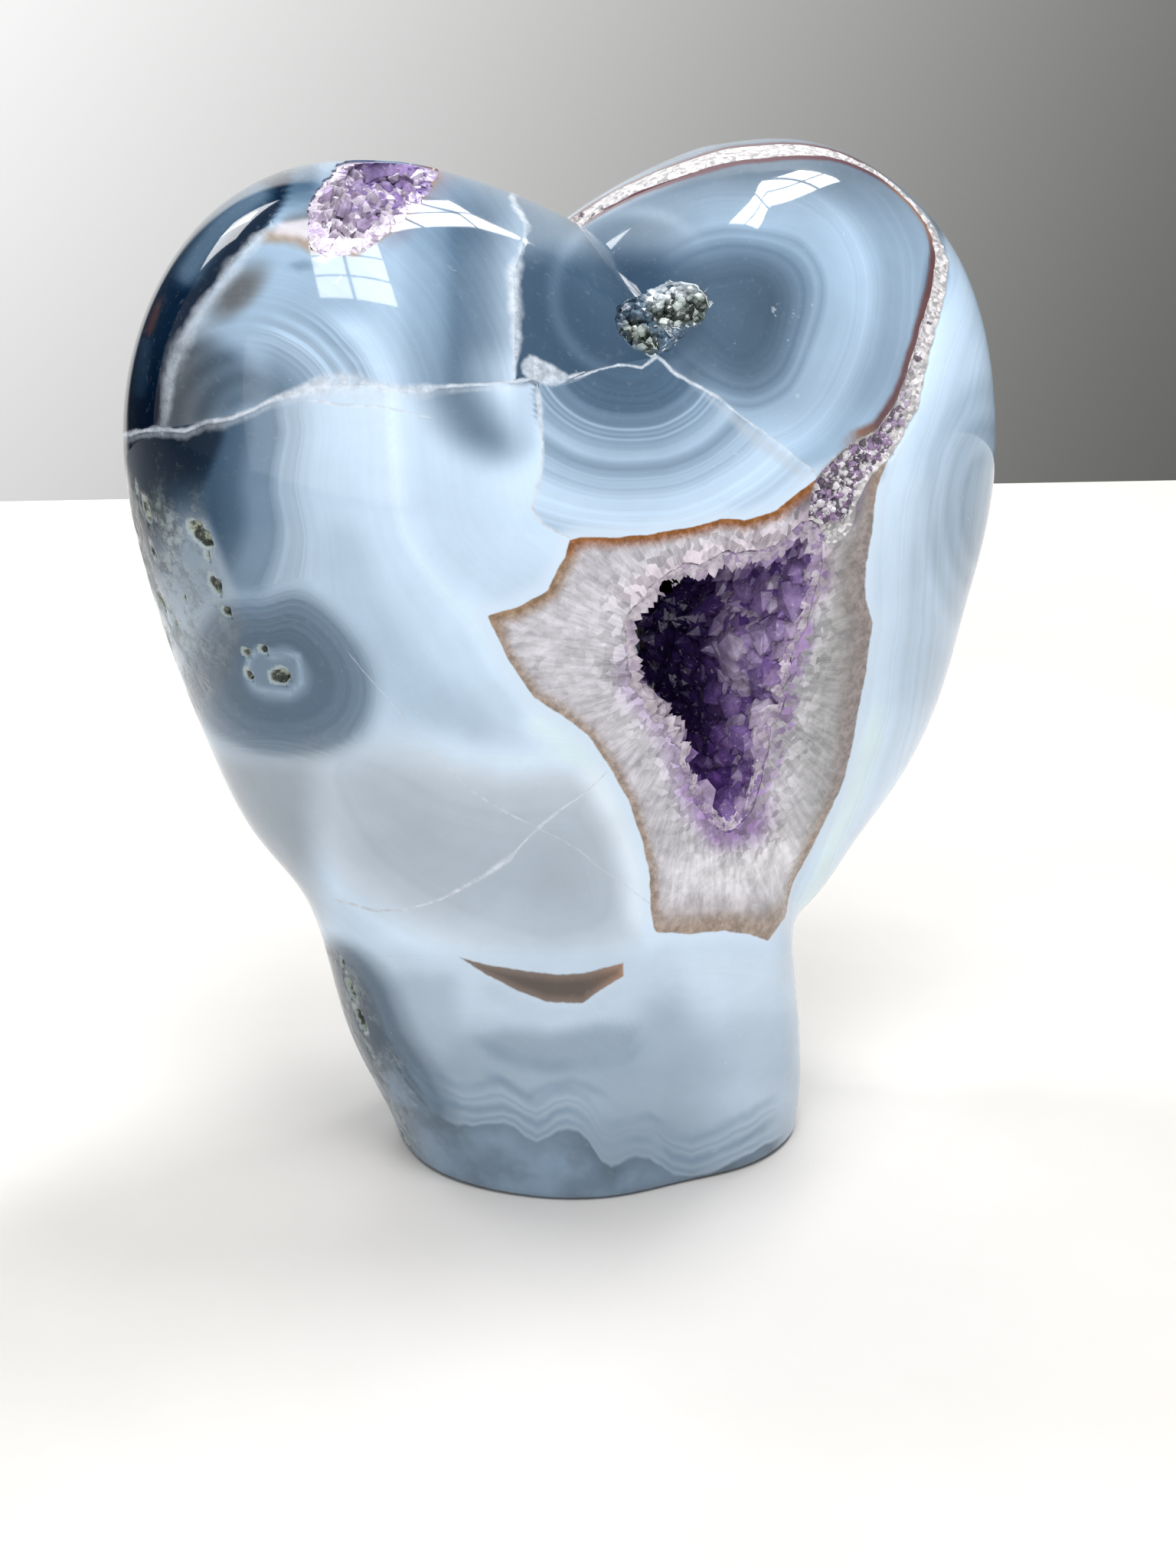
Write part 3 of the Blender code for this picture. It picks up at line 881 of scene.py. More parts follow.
arcs = np.hypot(across - ARC_CENTRE[0], down - ARC_CENTRE[1]) + 3 * ripple
arc_share = soft(down, 385, 430) * soft(across, 315, 360)
arc_light = marks(
    arcs,
    [
        (60, 0.46), (85, 0.58), (104, 0.66), (118, 0.76), (134, 0.73), (146, 0.71), (160, 0.68),
        (170, 0.76), (182, 0.87), (200, 0.84), (230, 0.80),
    ],
)
lobe_light = mix(lobe_light, arc_light, arc_share * (1 - soft(arcs, 190, 235)))
lobe_light = mix(lobe_light, 0.36, soft(418 - across, 0, 24) * (1 - soft(down, 235, 285)))
corner = within(
    spots,
    [
        (212, 445), (236, 432), (268, 434), (300, 447), (328, 472), (350, 505), (205, 575),
        (190, 540),
    ],
)
lobe_light = mix(
    lobe_light, 0.36 + 0.10 * soft(across, 250, 330) + 0.03 * np.sin(arcs / 5),
    soft(corner, -1.5, 1.8),
)
lobe_grey = mix(lobe_grey, 1.3 - soft(across, 225, 300), soft(corner, -1.5, 1.8))
blotch = np.hypot(
    ((across - 303) + (down - 374)) / 1.41 / 24, ((across - 303) - (down - 374)) / 1.41 / 52
)
lobe_light = mix(lobe_light, 0.40, 1 - soft(blotch, 0.25, 1.3))
lobe_grey = mix(lobe_grey, 1.5, 1 - soft(blotch, 0.35, 1.25))
small_blotch = np.hypot((across - 385) / 24, (down - 341) / 9)
lobe_light = mix(lobe_light, 0.55, 0.8 * (1 - soft(small_blotch, 0.3, 1.1)))
side_across = marks(
    down,
    [
        (230, 372), (262, 362), (290, 342), (325, 308), (375, 268), (425, 236), (480, 217),
        (553, 207),
    ],
)
side_gap = (side_across - across) / PER_MM
side_dark = 0.09 + 0.03 * ripple
side_dark = (
    side_dark + 0.30 * near(spots, [(330, 250), (285, 285), (255, 325), (240, 350)], 0.3, 2.2)
)
side_dark = side_dark + 0.10 * near(spots, [(185, 440), (178, 500)], 0.2, 1.2)
lobe_light = mix(lobe_light, side_dark, soft(side_gap, -0.3, 0.5))
lobe_grey = mix(lobe_grey, 0.1, soft(side_gap, -0.3, 0.5))
rust = near(spots, [(202, 388), (198, 402), (190, 425)], 0.1, 0.7)
tint_two = blue_grey(lobe_light, lobe_grey)
tint_two = lay(tint_two, (0.6 * rust, (0.45, 0.25, 0.22)))

# Orange-brown and dark surrounds of the druzy patch on the lobe.
patch_side = away(spots, [(553, 228), (530, 255), (502, 286), (470, 308), (448, 322)])
tint_two = lay(
    tint_two,
    (0.85 * (1 - soft(patch_side, 0.3, 1.1)), (0.62, 0.42, 0.27)),
    (0.5 * (1 - soft(patch_side, 1.0, 3.2)) * soft(across, 470, 520), (0.46, 0.42, 0.48)),
)
patch_left = away(spots, [(438, 228), (420, 258), (398, 283), (372, 290)])
tint_two = lay(
    tint_two,
    (0.75 * (1 - soft(patch_left, 0.3, 1.8)), (0.36, 0.38, 0.40)),
    (0.75 * near(spots, [(342, 303), (372, 304), (400, 318)], 0.3, 1.1), (0.62, 0.52, 0.42)),
)
tail = within(
    spots, [(346, 288), (372, 284), (402, 280), (424, 330), (410, 338), (392, 308), (352, 302)]
)
tint_two = lay(tint_two, (0.85 * soft(tail, -0.3, 0.4), (0.86, 0.84, 0.87)))

# The back and the sides run on from the front as bands.
back_way = millimetres @ np.array([0.35, 0.20, 0.92]) + 5 * broad + 0.3 * ripple
back_light = (
    0.72
    + 0.08 * np.sin(back_way / 2.1)
    + 0.045 * np.sin(back_way / 0.9 + 1)
    + 0.07 * clouds(millimetres, 9, 12)
)
back_tint = blue_grey(back_light, 0.4 + 0.3 * clouds(millimetres, 11, 15))
back_share = soft(rearward + 5 * soft(millimetres[:, 0], 10, 30), 0, 11)
tint = mix(tint, back_tint, back_share[:, None])
tint_two = mix(tint_two, back_tint, soft(rearward, 2, 13)[:, None])

lobe_in = within(
    spots,
    [
        (120, 560), (158, 556), (200, 549), (262, 540), (330, 520), (400, 494), (480, 492),
        (520, 497), (600, 489), (658, 484), (658, 392), (656, 350), (666, 323), (673, 292),
        (654, 257), (640, 150), (120, 150),
    ],
)
two_in = np.maximum(lobe_in, fan_in) - 30 * soft(rearward, 12, 16)
fan_out = np.hypot((across - FAN_CENTRE[0]) * 0.9, down - FAN_CENTRE[1]) + 2.5 * ripple

# Rind: rough green-grey outer skin left on the sides, and the pits in it.
rind = (
    left_flank
    * soft(down, 600, 680)
    * marks(across, [(170, 1.0), (215, 0.9), (250, 0.55), (285, 0.20), (312, 0.0)])
)
rind = np.maximum(rind, 0.55 * foot_side * soft(foot_left, 14, 34))
rind = np.maximum(
    rind,
    0.8
    * soft(rearward, 3, 9)
    * soft(-millimetres[:, 0], 28, 38)
    * soft(millimetres[:, 2], 40, 52)
    * (1 - soft(millimetres[:, 2], 74, 84)),
)

# The quartz round the hollow.
quartz_back = soft(millimetres[:, 1], -16, 0)
quartz_in = within(spots, QUARTZ_OUTLINE) - 14 * quartz_back + 0.16 * ripple
mouth_line = [
    (811, 763), (837, 744), (879, 721), (926, 709), (1003, 690), (1038, 668), (1042, 740),
    (1012, 840), (1000, 914), (980, 980), (957, 1052), (920, 1057), (879, 1003), (856, 933),
    (813, 879), (802, 855),
]
mouth_gap = -within(spots, mouth_line)
quartz_tint = np.tile((0.83, 0.82, 0.85), (count, 1))
quartz_tint = lay(
    quartz_tint,
    (soft(across, 985, 1050), (0.72, 0.72, 0.73)),
    (0.7 * soft(across, 1040, 1090) * soft(down, 660, 720), (0.60, 0.58, 0.58)),
    (0.7 * near(spots, [(1035, 650), (1075, 650), (1095, 610)], 1.0, 3.4), (0.40, 0.36, 0.42)),
    (0.6 * soft(down, 1130, 1180), (0.66, 0.62, 0.60)),
    (0.7 * near(spots, [(890, 1110), (950, 1120), (1000, 1090)], 0.5, 4.0), (0.95, 0.94, 0.96)),
)
fringe = 1 - soft(mouth_gap, 0.3, 3.0)
quartz_tint = lay(
    quartz_tint,
    (0.7 * fringe * (1 - soft(across, 930, 960)) * soft(down, 800, 880), (0.74, 0.66, 0.82)),
    (0.6 * fringe * (1 - soft(down, 740, 800)), (0.84, 0.77, 0.82)),
    (0.7 * fringe * soft(down, 1000, 1050), (0.66, 0.54, 0.76)),
    (0.6 * fringe * soft(across, 990, 1010) * soft(down, 740, 800), (0.82, 0.82, 0.85)),
)

top_rim = near(spots, TOP_RIM, 1.0, 2.2)
corner_rim = near(spots, LEFT_CORNER_RIM, 1.0, 2.6)
rim_tint = np.tile((0.64, 0.57, 0.52), (count, 1))
rim_tint = lay(
    rim_tint,
    (corner_rim, (0.60, 0.49, 0.38)),
    (top_rim, (0.58, 0.37, 0.19)),
    (soft(across, 1040, 1070) * soft(down, 620, 680), (0.58, 0.54, 0.53)),
)
rim_wide = (
    1.7
    + 0.2 * top_rim
    + 0.5 * corner_rim
    + 1.8 * soft(across, 1050, 1080) * soft(down, 640, 700) * (1 - soft(down, 960, 1080))
)
rim_wide = rim_wide + 2.2 * soft(down, 1140, 1180) * soft(across, 830, 880)

# Each healed crack: its line, whether the line is a course down the stone or
# across it, how far its gap counts, its half width along it in mm, its strength.
def along(field, first, last, fade=8):
    return soft(field, first - fade, first + fade) * (1 - soft(field, last - fade, last + fade))


vein_half = marks(
    across,
    [(150, 0.34), (340, 0.40), (400, 0.80), (500, 0.85), (545, 0.50), (600, 0.32), (745, 0.24)],
)
upper_half = 0.40 + 0.25 * soft(down, 300, 340) * (1 - soft(down, 420, 460))
low_half = 0.12 + 0.20 * np.exp(-(((across - 665) / 50) ** 2))
CRACKS = [
    (BIG_VEIN, False, 1.0, vein_half * along(across, 150, 742), 0.92),
    (VEIN_HAZE, False, 1.0, 1.5 * vein_half * along(across, 150, 742), 0.30),
    (BIG_VEIN_STRAND, False, 1.0, 0.18 * along(across, 395, 545), 0.8),
    (UPPER_CRACK, True, 1.0, upper_half * along(down, 250, 478), 0.80),
    (LOWER_CRACK, True, 1.0, 0.36 * along(down, 492, 693), 0.9),
    (LONG_CRACK, False, 0.85, 0.17 * along(across, 738, 1043), 0.85),
    (LOW_CRACK[::-1], False, 0.85, low_half * along(across, 425, 772), 0.9),
    (LONG_HEALED, False, 0.77, 0.06 * along(across, 445, 880), 0.75),
    (SIDE_LINE, True, 0.8, (0.75 - 0.3 * soft(down, 420, 520)) * along(down, 292, 552), 0.50),
]
chip_in = within(spots, PALE_CHIP)
wedge = within(spots, CRACK_WEDGE)

# The way across the fine bands, in mm, and how strongly they show.
way_one = 14 * column_way
way_one = mix(way_one, eye_out / PER_MM, soft(eye, 0.2, 0.5))
way_one = mix(way_one, oval, soft(down, 930, 990))
way_one = mix(way_one, below, soft(down, 1200, 1260))
way_one = np.where(flank > 0.5, flank_way / PER_MM, way_one)
way_one = np.where(ring_share > 0.5, ring_out / PER_MM, way_one)
way_one = mix(way_one, back_way, soft(millimetres[:, 1], 2, 8))
way_two = mix(np.where(fan_in > -1, fan_out, arcs) / PER_MM, back_way, soft(rearward, 5, 11))
fine_one = (
    0.04 + 0.42 * np.exp(-(((column_way - 0.10) / 0.16) ** 2)) * column * soft(down, 505, 540)
)
fine_one = (
    fine_one
    + 0.30 * soft(eye, 0.5, 0.9) * soft(eye_out, 70, 84)
    + 0.12 * soft(ring_share, 0.5, 0.9)
    + 0.16 * soft(flank, 0.5, 0.9)
)
fine_one = (
    fine_one * (1 - 0.8 * np.exp(-(((soft(eye, 0.2, 0.5) - 0.5) / 0.3) ** 2)))
    + 0.35 * soft(millimetres[:, 1], 6, 12)
)
back_turn = soft(millimetres[:, 1], 2, 8)
fine_one = fine_one * (1 - 0.9 * np.exp(-(((back_turn - 0.5) / 0.32) ** 2)))
fine_two = (
    0.12
    + 0.55 * arc_share * soft(arcs, 85, 100) * (1 - soft(arcs, 160, 176))
    + 0.14 * soft(fan_in, -0.5, 0.2)
)
fine_two = (
    fine_two
    * (1 - soft(side_gap, -0.6, 0.2))
    * (1 - soft(corner, -1.0, 0.3))
    * (1 - soft(rearward, 0, 6))
    + 0.39 * soft(rearward, 6, 12)
)

hub = np.array([905.0, 850.0])
spoke = spots - hub
spoke_out = np.hypot(*spoke.T)
spoke_turn = np.arctan2(spoke[:, 1] * 0.8, spoke[:, 0])
spoke_field = np.stack([30 * np.cos(spoke_turn), 30 * np.sin(spoke_turn), spoke_out / 34], axis=-1)

# Small dents: pits in the rind and the eye, and the groove of the quartz seam.
# Each pit has its place in the view, its size in mm and its lean in degrees.
PITS = [
    ((252, 678), 2.3, 40), ((270, 747), 1.5, 60), ((287, 778), 0.9, 20), ((353, 866), 2.0, -25),
    ((316, 862), 1.1, 70), ((311, 832), 1.1, 90), ((236, 762), 0.8, 80), ((262, 712), 0.6, 0),
    ((224, 792), 0.8, 60), ((334, 828), 0.6, 0), ((186, 650), 1.8, 70), ((194, 700), 1.2, 80),
    ((204, 770), 1.6, 75), ((215, 815), 1.0, 60), ((176, 622), 0.9, 90), ((445, 1262), 1.9, 70),
    ((458, 1300), 2.1, 75), ((470, 1340), 1.2, 60), ((436, 1230), 1.2, 80), ((520, 1446), 1.3, 50),
    ((800, 408), 1.3, 60), ((815, 430), 1.4, 20), ((829, 446), 0.7, 40), ((826, 408), 0.9, 0),
    ((897, 392), 1.0, 30),
]

# The seam's run over the stone, as turn and swing in degrees, its width in mm
# at each, and how deep the pits and the seam's groove go in mm.
SEAM_PATH = [
    (50.0, 18.6), (52.6, 20.6), (50.6, 25.1), (46.8, 29.4), (46.0, 35.3), (47.2, 41.8),
    (47.8, 47.5), (47.6, 55.3), (47.6, 64.6), (49.0, 71.0), (52.5, 75.5), (57.0, 78.8),
    (62.0, 80.3), (68.0, 81.8), (74.0, 83.5), (80.0, 86.5), (87.0, 91.0), (94.0, 95.0),
    (100.0, 99.0),
]
SEAM_WIDTH = [
    5.6, 5.2, 4.2, 3.0, 2.5, 2.2, 2.1, 2.1, 1.9, 1.6, 1.4, 1.6, 2.2, 2.8, 3.3, 3.4, 3.4, 3.2, 3.0
]
SEAM_STEPS = 150
PIT_DEPTH = 0.8
GROOVE_DEPTH = 0.7
stone_middle = np.array([HEART_CENTRE[0], 0.0, HEART_CENTRE[1]]) * 1000
seam_steps = np.linspace(0, len(SEAM_PATH) - 1, SEAM_STEPS)
path_steps = np.arange(len(SEAM_PATH))
seam_turn, seam_swing = [
    np.radians(np.interp(seam_steps, path_steps, column)) for column in np.array(SEAM_PATH).T
]
seam_half = np.interp(seam_steps, path_steps, SEAM_WIDTH) / 2
seam_run = on_stone(seam_turn, seam_swing) * 1000
seam_near = np.full(count, 1e9)
seam_side = np.zeros(count)
seam_along = np.zeros(count)
for number, (start, end, half) in enumerate(zip(seam_run, seam_run[1:], seam_half)):
    run = end - start
    share = np.clip((millimetres - start) @ run / (run @ run), 0, 1)
    reach = millimetres - start - share[:, None] * run
    gap = np.linalg.norm(reach, axis=1) - half
    closer = gap < seam_near
    seam_near = np.where(closer, gap, seam_near)
    left = np.cross(start - stone_middle, run)
    seam_side = np.where(closer, np.sign(reach @ left), seam_side)
    seam_along = np.where(closer, number / len(seam_half), seam_along)
seam_near = seam_near + 0.15 * ripple

normals = np.empty(count * 3)
heart_mesh.vertices.foreach_get("normal", normals)
hidden = 1000.0 * (normals.reshape(-1, 3) @ view_back < 0.08)
pit = np.zeros(count)
for spot, size, lean in PITS:
    from_pit = millimetres - millimetres[np.argmin(np.hypot(*(spots - spot).T) + hidden)]
    lean = math.radians(lean)
    run = from_pit @ (view_right * math.cos(lean) - view_up * math.sin(lean))
    rest = np.sqrt(np.maximum((from_pit**2).sum(axis=1) - run**2, 0))
    gap = np.hypot(run, 1.8 * rest) + 0.18 * size * clouds(millimetres, 0.7, 21)
    pit = np.maximum(pit, (1 - soft(gap, 0.25 * size, size)) * (1 - backward))
pit = pit * (mouth_gap > 0)
inward = (stone_middle - millimetres) * (1, 1, 0)
inward = inward / np.maximum(np.linalg.norm(inward, axis=1, keepdims=True), 1e-6)
sunk = PIT_DEPTH * soft(pit, 0.2, 0.8) * (0.25 + 0.75 * soft(across, 205, 255))
sunk = sunk + GROOVE_DEPTH * (1 - soft(seam_near, -0.5, 0.1)) * (mouth_gap > 0.6)
place = place + inward * sunk[:, None] * 0.001 * (place[:, 2:] > 0.002)
place = np.clip(place, *cad_box)
heart_mesh.vertices.foreach_set("co", place.ravel())

# Brown borders of the seam: dark on the lobe's side of it, and on both sides
# of it along the top.
seam_top = soft(seam_along, 0.56, 0.64)
seam_border = (
    np.maximum(seam_side > 0, seam_top)
    * (1 - soft(seam_near, 1.7, 2.0))
    * soft(seam_along, 0.09, 0.13)
    * (1 - soft(quartz_in, 0.2, 0.8))
)
border_tint = np.tile((0.40, 0.27, 0.27), (count, 1))
border_tint = lay(
    border_tint,
    (soft(seam_along, 0.42, 0.50) * (1 - seam_top), (0.60, 0.44, 0.36)),
    (seam_top, (0.36, 0.22, 0.25)),
    (1 - soft(seam_along, 0.10, 0.18), (0.58, 0.42, 0.30)),
)


def to_linear(colours):
    """Display values to light values, by the usual screen curve."""
    colours = np.clip(colours, 0, 1)
    return np.where(colours <= 0.04045, colours / 12.92, ((colours + 0.055) / 1.055) ** 2.4)


def keep_colours(data, name, colours):
    """Keeps a colour for each point in the mesh, under a name."""
    layer = data.attributes.new(name, "FLOAT_COLOR", "POINT")
    full = np.concatenate([to_linear(colours), np.ones((len(colours), 1))], axis=1)
    layer.data.foreach_set("color", full.ravel())


def keep_values(data, name, values):
    """Keeps a number for each point in the mesh, under a name."""
    layer = data.attributes.new(name, "FLOAT", "POINT")
    layer.data.foreach_set("value", np.asarray(values, np.float32))


def new_material(name):
    """A material with nodes, its node tree and its shader."""
    made = bpy.data.materials.new(name)
    made.use_nodes = True
    tree = made.node_tree
    shader = tree.nodes["Principled BSDF"]
    return made, tree, shader


def add_node(tree, kind, inputs=None, **settings):
    """Adds a shader node, with its settings, and its inputs set or linked."""
    node = tree.nodes.new("ShaderNode" + kind)
    for key, value in settings.items():
        setattr(node, key, value)
    for key, value in (inputs or {}).items():
        if isinstance(value, bpy.types.NodeSocket):
            tree.links.new(value, node.inputs[key])
        else:
            node.inputs[key].default_value = value
    return node


def attribute(tree, name, socket="Fac"):
    """What a named layer of values or colours holds at the point."""
    return add_node(tree, "Attribute", attribute_name=name).outputs[socket]


def calc(tree, operation, first, second=0.0, third=0.0):
    """One of Blender's sums on two or three values."""
    node = add_node(tree, "Math", {0: first, 1: second, 2: third}, operation=operation)
    return node.outputs[0]


def times(tree, first, second):
    return calc(tree, "MULTIPLY", first, second)


def plus(tree, first, second):
    return calc(tree, "ADD", first, second)


def minus(tree, first, second):
    return calc(tree, "SUBTRACT", first, second)


def times_plus(tree, first, second, third):
    """First times second, plus third."""
    return calc(tree, "MULTIPLY_ADD", first, second, third)


def ramp(tree, value, low, high, start=0.0, end=1.0):
    """Smooth step of a value from low to high, giving start to end."""
    inputs = {"Value": value, "From Min": low, "From Max": high, "To Min": start, "To Max": end}
    return add_node(tree, "MapRange", inputs, interpolation_type="SMOOTHSTEP").outputs[0]


def blend(tree, share, first, second):
    """First colour where the share is 0, second where it is 1."""
    node = add_node(tree, "Mix", {0: share, 6: first, 7: second}, data_type="RGBA")
    return node.outputs[2]


def scaled(tree, colour, factor):
    """A colour made lighter or darker by a factor."""
    return add_node(tree, "VectorMath", {0: colour, "Scale": factor}, operation="SCALE").outputs[0]


def noise(tree, vector, scale, detail=2.0, roughness=0.5):
    """Cloudy noise about 0.5, of a scale in waves to the metre."""
    inputs = {"Vector": vector, "Scale": scale, "Detail": detail, "Roughness": roughness}
    return add_node(tree, "TexNoise", inputs).outputs["Fac"]


def colour_stops(tree, field, stops):
    """Colours read off along a field, straight between the stops given."""
    node = add_node(tree, "ValToRGB", {0: field})
    elements = node.color_ramp.elements
    while len(elements) < len(stops):
        elements.new(0.5)
    for element, (position, shade) in zip(elements, stops):
        element.position = position
        element.color = (*shade, 1)
    return node.outputs["Color"]


def line_gap(tree, line, downward, share):
    """Signed gap in mm from a line given as a course of places in the view.

    The line is read as a height over across, or when it runs down the stone
    as an across over down, and share squares the gap up to a slanting line.
    """
    places = [(y, x) for x, y in line] if downward else line
    run, course = ("down", "across") if downward else ("across", "down")
    first, last = places[0][0], places[-1][0]
    gone = times_plus(tree, attribute(tree, run), 1 / (last - first), -first / (last - first))
    stops = [((at - first) / (last - first), [value / VIEW_HIGH] * 3) for at, value in places]
    course_there = times(tree, colour_stops(tree, gone, stops), -VIEW_HIGH)
    gap = plus(tree, attribute(tree, course), course_there)
    return times(tree, gap, share / PER_MM)


def ring_colours(tree, field, places):
    """The stone's colour across its rings: lightness at places from the middle."""
    shades = to_linear(blue_grey(np.array([value for _, value in places]), 0.05))
    stops = [(at / RING_REACH, shade) for (at, _), shade in zip(places, shades)]
    return colour_stops(tree, calc(tree, "DIVIDE", field, RING_REACH), stops)


purple_right = soft(across, 960, 1000) * soft(down, 690, 730)
keep_colours(heart_mesh, "tint", tint)
keep_colours(heart_mesh, "tint_two", tint_two)
keep_colours(heart_mesh, "quartz_tint", quartz_tint)
keep_colours(heart_mesh, "rim_tint", rim_tint)
keep_colours(heart_mesh, "border_tint", border_tint)
for name, values in (
    ("two_in", np.clip(two_in, -3, 3)),
    ("fan_in", np.clip(fan_in, -3, 3)),
    ("fan_out", fan_out),
    ("ring_out", ring_out),
    ("ring_share", ring_share),
    ("ring_lift", ring_lift),
    ("way_one", way_one),
    ("way_two", way_two),
    ("fine_one", fine_one),
    ("fine_two", fine_two),
    ("quartz_in", np.clip(quartz_in, -6, 12)),
    ("mouth_gap", np.clip(mouth_gap, -3, 9)),
    ("rim_wide", rim_wide),
    ("purple_side", np.maximum(purple_right, soft(down, 930, 1010))),
    ("chip_in", np.clip(chip_in, -2, 2) - 5 * backward),
    ("across", across),
    ("down", down),
    ("front", 1 - backward),
    ("scallop_share", scallop_share),
    ("wedge", np.clip(wedge, -2, 3) - 3 * backward),
    ("seam_near", np.clip(seam_near, -3, 6)),
    ("seam_border", seam_border),
    ("rind", rind),
    ("pit", pit),
):
    keep_values(heart_mesh, name, values)
for number, (_, _, _, half, _) in enumerate(CRACKS):
    keep_values(heart_mesh, f"crack_half_{number}", half * (1 - backward))
spoke_layer = heart_mesh.attributes.new("spoke", "FLOAT_VECTOR", "POINT")
spoke_layer.data.foreach_set("vector", spoke_field.ravel())
heart_mesh.shade_smooth()
heart_mesh.set_sharp_from_angle(angle=math.radians(40))

agate, tree, shader = new_material("polished_banded_agate")
where = add_node(tree, "TexCoord").outputs["Object"]

# Body colour: two painted layers that meet sharply at the healed cracks.
RING_REACH = 260.0
RINGS = [
    (0, 0.43), (50, 0.42), (70, 0.46), (86, 0.52), (92, 0.49), (100, 0.56), (107, 0.63),
    (114, 0.59), (121, 0.66), (132, 0.71), (142, 0.69), (152, 0.73), (166, 0.72), (180, 0.74),
    (190, 0.70), (203, 0.66), (216, 0.64), (240, 0.66),
]
FAN_ARCS = [
    (0, 0.37), (60, 0.38), (82, 0.40), (91, 0.52), (97, 0.48), (102, 0.53), (105, 0.70),
    (108, 0.55), (112, 0.64), (115, 0.57), (118, 0.70), (122, 0.59), (128, 0.64), (134, 0.74),
    (143, 0.73), (150, 0.66), (158, 0.61), (166, 0.71), (175, 0.76), (182, 0.73), (190, 0.80),
    (202, 0.85), (214, 0.89), (226, 0.87), (240, 0.82),
]
rings = scaled(
    tree, ring_colours(tree, attribute(tree, "ring_out"), RINGS),
    plus(tree, attribute(tree, "ring_lift"), 1.0),
)
layer_one = blend(tree, attribute(tree, "ring_share"), attribute(tree, "tint", "Color"), rings)
fan_colour = ring_colours(tree, attribute(tree, "fan_out"), FAN_ARCS)
fan_share = ramp(tree, attribute(tree, "fan_in"), -0.8, -0.7)
layer_two = blend(tree, fan_share, attribute(tree, "tint_two", "Color"), fan_colour)
two = ramp(tree, attribute(tree, "two_in"), -0.06, 0.06)
colour = blend(tree, two, layer_one, layer_two)

# Slate under the scalloped line of the foot, and darker lines that follow it.
wavy = noise(tree, where, 160.0, 2.0)
below_line = line_gap(tree, SCALLOPS, False, 1.0)
below_jag = plus(
    tree, below_line, ramp(tree, noise(tree, where, 220.0, 2.0), 0.3, 0.7, -0.25, 0.25)
)
scallop_share = attribute(tree, "scallop_share")
slate = times(tree, ramp(tree, below_jag, -0.12, 0.35, 0.0, 0.92), scallop_share)
slate_light = ramp(tree, noise(tree, where, 190.0, 3.0), 0.35, 0.65, 0.80, 1.22)
slate_light = times(tree, slate_light, ramp(tree, below_jag, 0.3, 2.6, 0.85, 1.15))
colour = blend(tree, slate, colour, scaled(tree, (0.15, 0.215, 0.29), slate_light))
for line, shift, half, strength in (
    (SCALLOPS, -0.55, 0.30, 0.40),
    (SCALLOPS, -1.80, 0.50, 0.50),
    (SCALLOPS, -2.95, 0.24, 0.26),
    (SCALLOPS, -4.20, 0.55, 0.32),
    (FOOT_BAND_LOW, 0.0, 0.60, 0.36),
    (FOOT_BAND, 0.0, 0.80, 0.32),
):
    from_line = below_jag
    if line is not SCALLOPS:
        from_line = times_plus(
            tree, ramp(tree, wavy, 0.3, 0.7, -1.0, 1.0), 0.2, line_gap(tree, line, False, 1.0)
        )
    gap = calc(tree, "ABSOLUTE", minus(tree, from_line, shift))
    shown = ramp(tree, gap, 0.0, 1.8 * half, strength, 0.0)
    first, last = line[0][0], line[-1][0]
    ends = times(
        tree, ramp(tree, attribute(tree, "across"), first, first + 40),
        ramp(tree, attribute(tree, "across"), last - 40, last, 1.0, 0.0),
    )
    uneven = ramp(tree, noise(tree, where, 90.0 + 23.0 * half, 2.0), 0.38, 0.58, 0.25, 1.25)
    shown = times(tree, times(tree, times(tree, shown, uneven), scallop_share), ends)
    colour = blend(tree, shown, colour, (0.15, 0.235, 0.33, 1))

# Fine bands, uneven in width and strength, and a soft cloudiness.
way = add_node(
    tree, "Mix", {0: two, 2: attribute(tree, "way_one"), 3: attribute(tree, "way_two")}
).outputs[0]
fine = add_node(
    tree, "Mix", {0: two, 2: attribute(tree, "fine_one"), 3: attribute(tree, "fine_two")}
).outputs[0]
wander = noise(tree, where, 130.0, 2.0)
way = times_plus(tree, wander, 0.8, way)
bands = add_node(
    tree, "TexNoise", {"W": way, "Scale": 1.25, "Detail": 3.0, "Roughness": 0.6},
    noise_dimensions="1D",
)
lines = ramp(tree, bands.outputs["Fac"], 0.36, 0.66, -1.0, 1.0)
haze = ramp(tree, noise(tree, where, 85.0, 5.0, 0.6), 0.3, 0.7, -0.05, 0.05)
factor = plus(tree, times_plus(tree, lines, times(tree, fine, 0.26), 1.0), haze)
colour = scaled(tree, colour, factor)

flecks = ramp(tree, noise(tree, where, 700.0, 3.0, 0.7), 0.66, 0.80, 0.0, 0.55)
fleck_fields = ramp(tree, noise(tree, where, 60.0, 1.0), 0.48, 0.66)
flecks = times(tree, flecks, fleck_fields)
colour = blend(tree, flecks, colour, (0.70, 0.78, 0.86, 1))

